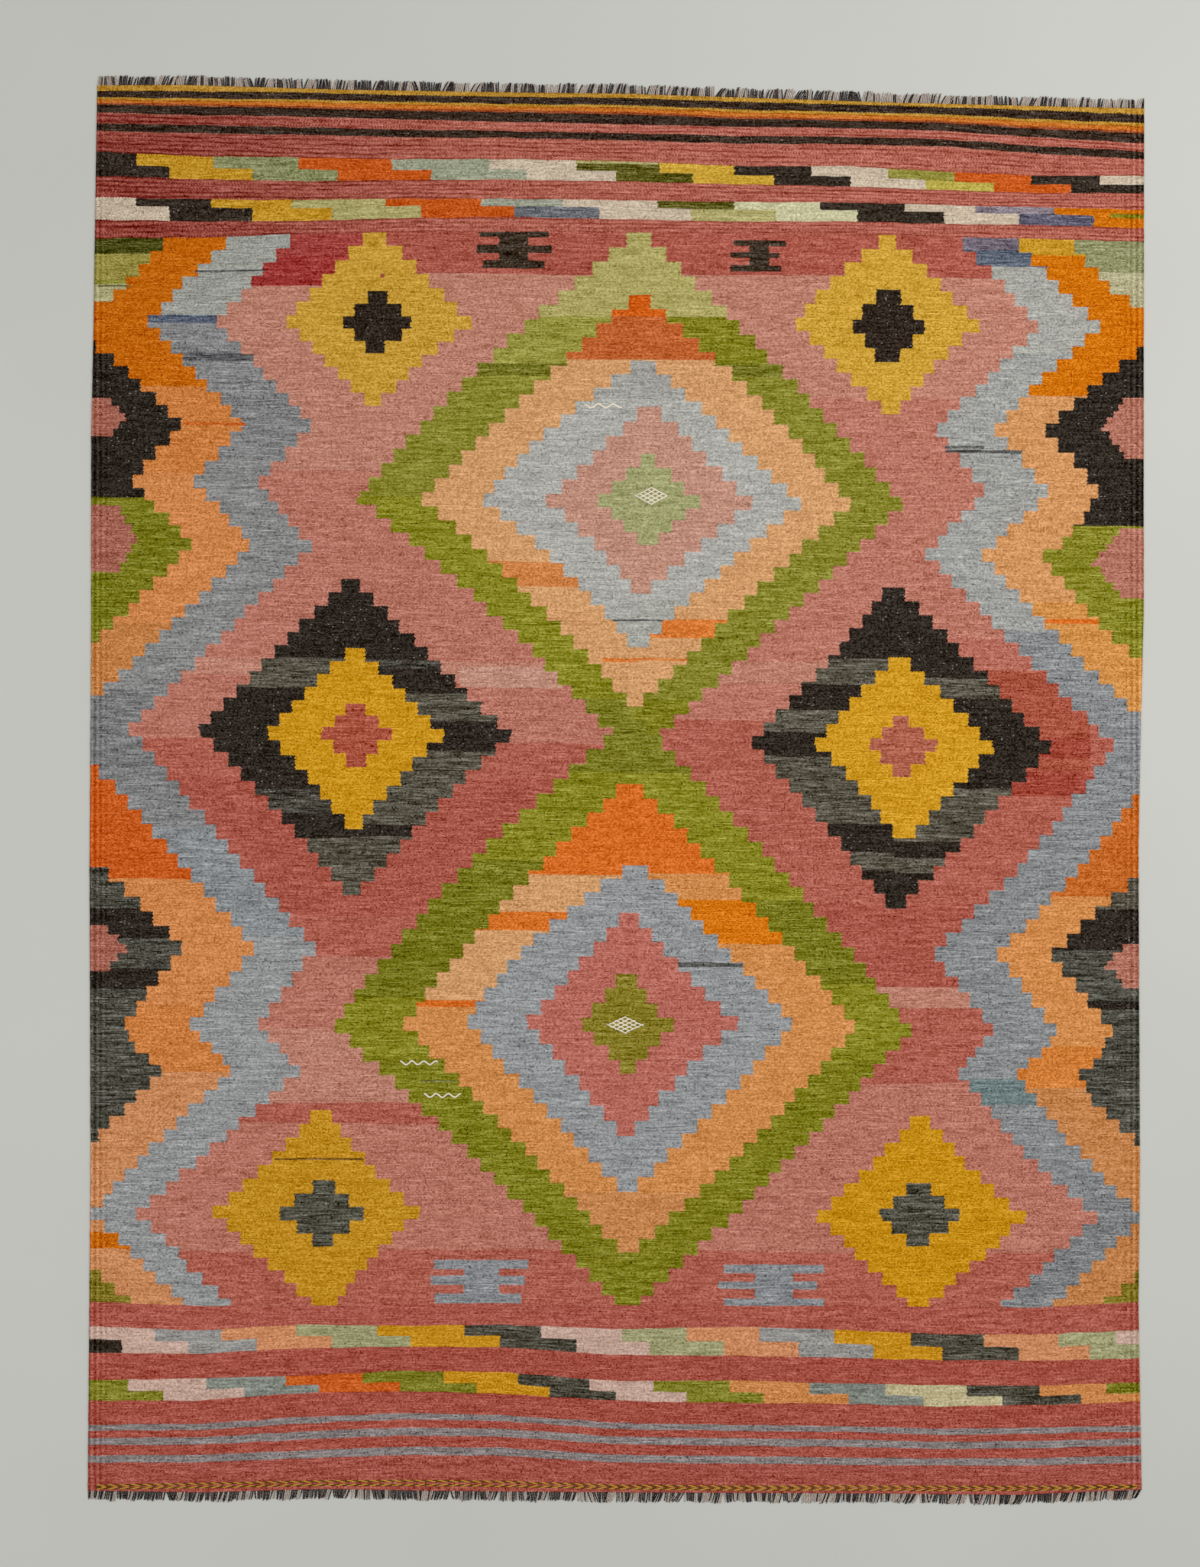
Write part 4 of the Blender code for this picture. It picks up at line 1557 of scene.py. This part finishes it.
# %% A yarn's material, from its stored tone
def loose_yarn_material(name, tones):
    """Blends along a list of shades by the yarn's tone, with wool's mottle and the painted shade of its fuzz.
    """
    material, tree, shader = plain_shader(name, 0.9)
    stored = tree.nodes.new("ShaderNodeAttribute")
    stored.attribute_name = "yarn_tone"
    made = tree.nodes.new("ShaderNodeValToRGB")
    ramp = made.color_ramp
    for i, shade in enumerate(tones):
        at = i / (len(tones) - 1)
        stop = ramp.elements[0] if i == 0 else ramp.elements[-1] if at == 1 else ramp.elements.new(at)
        stop.color = yarn(shade)
    tree.links.new(stored.outputs["Fac"], made.inputs["Fac"])
    place = tree.nodes.new("ShaderNodeTexCoord")
    parts = tree.nodes.new("ShaderNodeSeparateXYZ")
    tree.links.new(place.outputs["Object"], parts.inputs[0])
    across, along = parts.outputs["X"], parts.outputs["Y"]
    fuzz = fleece_noise(tree, across, along, 0.0012, 0.0012, 1.0, 41.0)
    # The fuzz also stands in for the crowns' height, so it is painted in as mottle and as shade of its bumps.
    chances = {label: fuzz for label in ("Height", "Crown", "Weft")}
    wool = use_group(
        tree, wool_tone_and_shade, Yarn=made.outputs["Color"], Across=across, Along=along, **chances
    )
    tree.links.new(wool["Colour"], shader.inputs["Base Color"])
    bump = tree.nodes.new("ShaderNodeBump")
    bump.inputs["Strength"].default_value = 0.5
    bump.inputs["Distance"].default_value = 0.0003
    tree.links.new(fuzz, bump.inputs["Height"])
    tree.links.new(bump.outputs["Normal"], shader.inputs["Normal"])
    return material


# %% [markdown]
# ## The fringe
# The warps were cut off short at both ends. Some are spun from dark goat hair and some from pale wool,
# and they lean together in small tufts. A warp end is two thin tubes wound round each other, lying on
# the floor. Dark and pale ones follow one another in short runs, and the right half has more pale ones.

# %% Make the two fringes
WARP_PITCH = 0.0031
PLY_RADIUS = 0.00088
TWIST_RADIUS = 0.00048
TWIST_LENGTH = 0.0105
RINGS = 6
# place across the rug, share of runs that are pale
PALE_AT_HEAD = np.array(((-1.0, 0.46), (-0.6, 0.38), (0.1, 0.34), (0.5, 0.58), (0.85, 0.62), (1.0, 0.42)))
PALE_AT_FOOT = np.array(((-1.0, 0.26), (-0.2, 0.30), (0.15, 0.52), (0.7, 0.56), (1.0, 0.30)))
DARK_TONES, BROWN_TONES, PALE_TONES = (0.0, 0.08), (0.30, 0.55), (0.88, 1.0)


def warp_end(yarns, root, tip, length, outward, height, tones, chance):
    """One cut warp: two plies wound round each other from its root to its tip."""
    phase = chance.uniform(0, 2 * math.pi)
    for ply, tone in enumerate(tones):
        line, radii = [], []
        for k in range(RINGS):
            s = k / (RINGS - 1)
            turn = phase + math.pi * ply + 2 * math.pi * s * length / TWIST_LENGTH
            wide = TWIST_RADIUS * (1 + 0.5 * s * s)
            x = root[0] + (tip - root[0]) * s**1.3 + wide * math.cos(turn)
            y = root[1] + outward * (length + 0.0025) * s
            z = height + (0.0012 - height) * s + TWIST_RADIUS * math.sin(turn)
            line.append((x + SHIFT_ACROSS, y + SHIFT_ALONG, max(z, PLY_RADIUS)))
            radii.append(PLY_RADIUS * (1.0 if k < RINGS - 1 else 0.55))
        yarns.sweep(line, radii, 3, tone * chance.uniform(0.85, 1.0))


def fringe_end(edge_place, outward, pale_table, seed):
    """All the cut warp ends of one end of the rug."""
    chance = random.Random(seed)
    yarns = YarnMesh()
    corners = on_the_floor(np.array([-HALF_WIDTH, HALF_WIDTH]), np.full(2, outward * HALF_LENGTH))[0]
    left, right = (float(c) for c in corners)
    count = int((right - left) / WARP_PITCH)
    lean, reach, run, tones = 0.0, 1.0, 0, DARK_TONES
    for i in range(count):
        across_root = left + (i + 0.5) * (right - left) / count
        if i % 6 == 0:
            lean = chance.gauss(outward * 0.0030, 0.0034)
            reach = chance.uniform(0.80, 1.0)
        if run == 0:
            pale = chance.random() < np.interp(across_root, *pale_table.T)
            tones = PALE_TONES if pale else BROWN_TONES if chance.random() < 0.12 else DARK_TONES
            run = chance.choice((1, 1, 1, 2)) if pale else chance.choice((1, 1, 2))
        run -= 1
        length = FRINGE_LENGTH * reach * chance.uniform(0.84, 1.02)
        tip = across_root + lean + chance.gauss(0.0, 0.0009)
        tip = min(max(tip, left + 0.001), right - 0.001)
        root = (across_root, edge_place(across_root) - outward * 0.0025)
        warp_end(yarns, root, tip, length, outward, chance.uniform(0.0012, 0.0020), tones, chance)
    return yarns


def head_place(across_root):
    return HALF_LENGTH + float(np.interp(across_root, *HEAD_EDGE.T))


def foot_place(across_root):
    return -HALF_LENGTH - float(np.interp(across_root, *FOOT_EDGE.T))


YARNS["warp dark"] = (42, 31, 30)
YARNS["warp brown"] = (112, 90, 82)
YARNS["warp cream"] = (214, 198, 184)
warp_yarn = loose_yarn_material("warp_yarn", ("warp dark", "warp brown", "warp cream"))
head_fringe = fringe_end(head_place, 1, PALE_AT_HEAD, 7).finish("head_fringe", warp_yarn)
foot_fringe = fringe_end(foot_place, -1, PALE_AT_FOOT, 8).finish("foot_fringe", warp_yarn)
for piece, node in ((head_fringe, "fringe_top"), (foot_fringe, "fringe_bottom")):
    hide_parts(node)
    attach(piece, "root")

# %% [markdown]
# ## The twined line and the white ties
# Just above the foot fringe, two pairs of gold and olive yarns are twined through the warps, each pair
# slanting the other way, which makes a line of herringbone. In the heart of each medallion a small tie
# of white cotton is worked, and three short wavy stitches lie in the rings.

# %% Make the twined line
TWINE_PERIOD = 0.0216
TWINE_RADIUS = 0.00125


def surface(across_now, along_now):
    """The height of the cloth's face."""
    return float(lift(np.array([across_now]), np.array([along_now]))[0]) + CLOTH_THICKNESS + RIPPLE_HEIGHT / 2


def row_place(across_now, row):
    """The place along the rug of a row of the loom, at one warp."""
    nominal = [r for r, _ in WEFT_DRIFT]
    drift = [np.interp(across_now / MM, WEFT_COLUMNS, drifts) for _, drifts in WEFT_DRIFT]
    return row + float(np.interp(row / MM, nominal, drift)) * MM


def twined_pair(yarns, row, slant, start, end):
    """Two yarns that pass over each other in turn."""
    steps = int((end - start) / (TWINE_PERIOD / 8))
    for strand, tone in ((0.0, 0.0), (math.pi, 1.0)):
        line = []
        for i in range(steps + 1):
            x = start + (end - start) * i / steps
            turn = 2 * math.pi * x / TWINE_PERIOD + strand
            y = row_place(x, row) + slant * 0.0013 * math.cos(turn)
            z = surface(x, y) - 0.0004 + 0.0009 * math.sin(turn)
            line.append((x + SHIFT_ACROSS, y + SHIFT_ALONG, z))
        yarns.sweep(line, [TWINE_RADIUS] * len(line), 4, tone)


twining = YarnMesh()
twined_pair(twining, -1.3256, 1, -0.988, 0.990)
twined_pair(twining, -1.3304, -1, -0.988, 0.990)
YARNS["twine olive"] = (86, 68, 14)
YARNS["twine gold"] = (198, 152, 52)
twine_yarn = loose_yarn_material("twine_yarn", ("twine olive", "twine gold"))
foot_twining = twining.finish("foot_twining", twine_yarn)

# %% Make the white ties and stitches
TIE_RADIUS = 0.0012
# middle across and along, half width, half length, in metres
TIES = ((0.067, 0.555, 0.034, 0.018), (0.017, -0.450, 0.036, 0.017))
# start across, along, length, waves
STITCHES = ((-0.061, 0.726, 0.072, 2.6), (-0.410, -0.522, 0.072, 3.2), (-0.365, -0.584, 0.070, 3.0))


def tie(yarns, middle_across, middle_along, half_wide, half_long, chance):
    """Two sets of slanting stitches that cross one another and fill a small diamond."""
    for slant in (-1, 1):
        for place in (-0.88, -0.44, 0.0, 0.44, 0.88):
            start, end = -0.5 + chance.uniform(-0.04, 0.08), 0.5 + chance.uniform(-0.08, 0.04)
            line = []
            for k in range(7):
                s = start + (end - start) * k / 6
                x = middle_across + half_wide * (0.5 * place + s)
                y = middle_along + slant * half_long * (s - 0.5 * place)
                weave_over = 0.0006 * math.sin(6 * math.pi * s + 2 * place + slant)
                z = surface(x, y) + 0.0006 + weave_over * (1 if 0 < k < 6 else 0)
                line.append((x + SHIFT_ACROSS, y + SHIFT_ALONG, z))
            yarns.sweep(line, [TIE_RADIUS] * len(line), 5, chance.uniform(0.6, 1.0))


def wavy_stitch(yarns, start, row, length, waves, chance):
    """One thick white yarn that winds along a few wefts."""
    line = []
    count = int(waves * 8)
    for k in range(count + 1):
        s = k / count
        x = start + length * s
        y = row + 0.0036 * math.cos(2 * math.pi * waves * s) * chance.uniform(0.85, 1.1)
        z = surface(x, y) + 0.0004 + 0.0006 * math.cos(2 * math.pi * waves * s)
        line.append((x + SHIFT_ACROSS, y + SHIFT_ALONG, z))
    yarns.sweep(line, [TIE_RADIUS * 1.35] * len(line), 5, chance.uniform(0.8, 1.0))


chance = random.Random(21)
white_yarns = YarnMesh()
for place in TIES:
    tie(white_yarns, *place, chance)
for stitch in STITCHES:
    wavy_stitch(white_yarns, *stitch, chance)
YARNS["tie grey"] = (212, 198, 172)
YARNS["tie white"] = (240, 230, 210)
tie_yarn = loose_yarn_material("tie_yarn", ("tie grey", "tie white"))
white_ties = white_yarns.finish("white_ties", tie_yarn)
for piece in (foot_twining, white_ties):
    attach(piece, "root")

# %% [markdown]
# ## Floor, light and camera
# The rug is seen from straight above on a plain pale floor, under soft light that is a little stronger
# from the right. A wide lamp far off gives that, and the world's even light fills the rest.


# %% The floor
def pale_floor():
    bpy.ops.object.select_all(action="DESELECT")
    bpy.ops.mesh.primitive_plane_add(size=14, location=(0, 0, 0))
    made = bpy.context.object
    made.name = "floor"
    material, tree, shader = plain_shader("pale_floor", 0.75)
    place = tree.nodes.new("ShaderNodeTexCoord")
    parts = tree.nodes.new("ShaderNodeSeparateXYZ")
    tree.links.new(place.outputs["Object"], parts.inputs[0])
    soft = fleece_noise(tree, parts.outputs["X"], parts.outputs["Y"], 0.5, 0.5, 2.0, 2.0)
    tone = blend_colour(tree, soft, (0.585, 0.588, 0.545, 1), (0.620, 0.622, 0.580, 1))
    tree.links.new(tone, shader.inputs["Base Color"])
    made.data.materials.append(material)
    return made


floor = pale_floor()


# %% The lamps
def soft_lamp(name, place, aim, size, power):
    """A wide lamp that points at a place."""
    data = bpy.data.lights.new(name, "AREA")
    data.shape = "SQUARE"
    data.size = size
    data.energy = power
    made = bpy.data.objects.new(name, data)
    made.location = place
    made.rotation_euler = (Vector(aim) - Vector(place)).to_track_quat("-Z", "Y").to_euler()
    made.visible_camera = False
    bpy.context.scene.collection.objects.link(made)


soft_lamp("window_side", (3.4, 1.4, 3.6), (0.2, 0.1, 0), 3.0, 138)
soft_lamp("room_side", (-3.0, -0.8, 3.8), (-0.2, 0, 0), 3.0, 66)
world = bpy.data.worlds.new("even_room_light")
world.use_nodes = True
world.node_tree.nodes["Background"].inputs["Color"].default_value = (1, 1, 1, 1)
world.node_tree.nodes["Background"].inputs["Strength"].default_value = 0.40
bpy.context.scene.world = world
bpy.context.scene.view_settings.view_transform = "Standard"

# %% The camera
LENS, SENSOR = 50.0, 36.0
FRAME_HEIGHT = 2.9773
camera_data = bpy.data.cameras.new("above")
camera_data.lens = LENS
camera_data.sensor_width = SENSOR
camera = bpy.data.objects.new("above", camera_data)
height = FRAME_HEIGHT * LENS / SENSOR
camera.location = (-0.0304 + SHIFT_ACROSS, 0.00855 + SHIFT_ALONG, height + CLOTH_THICKNESS)
bpy.context.scene.collection.objects.link(camera)
bpy.context.scene.camera = camera
print("the camera is", round(height, 3), "m above the cloth")
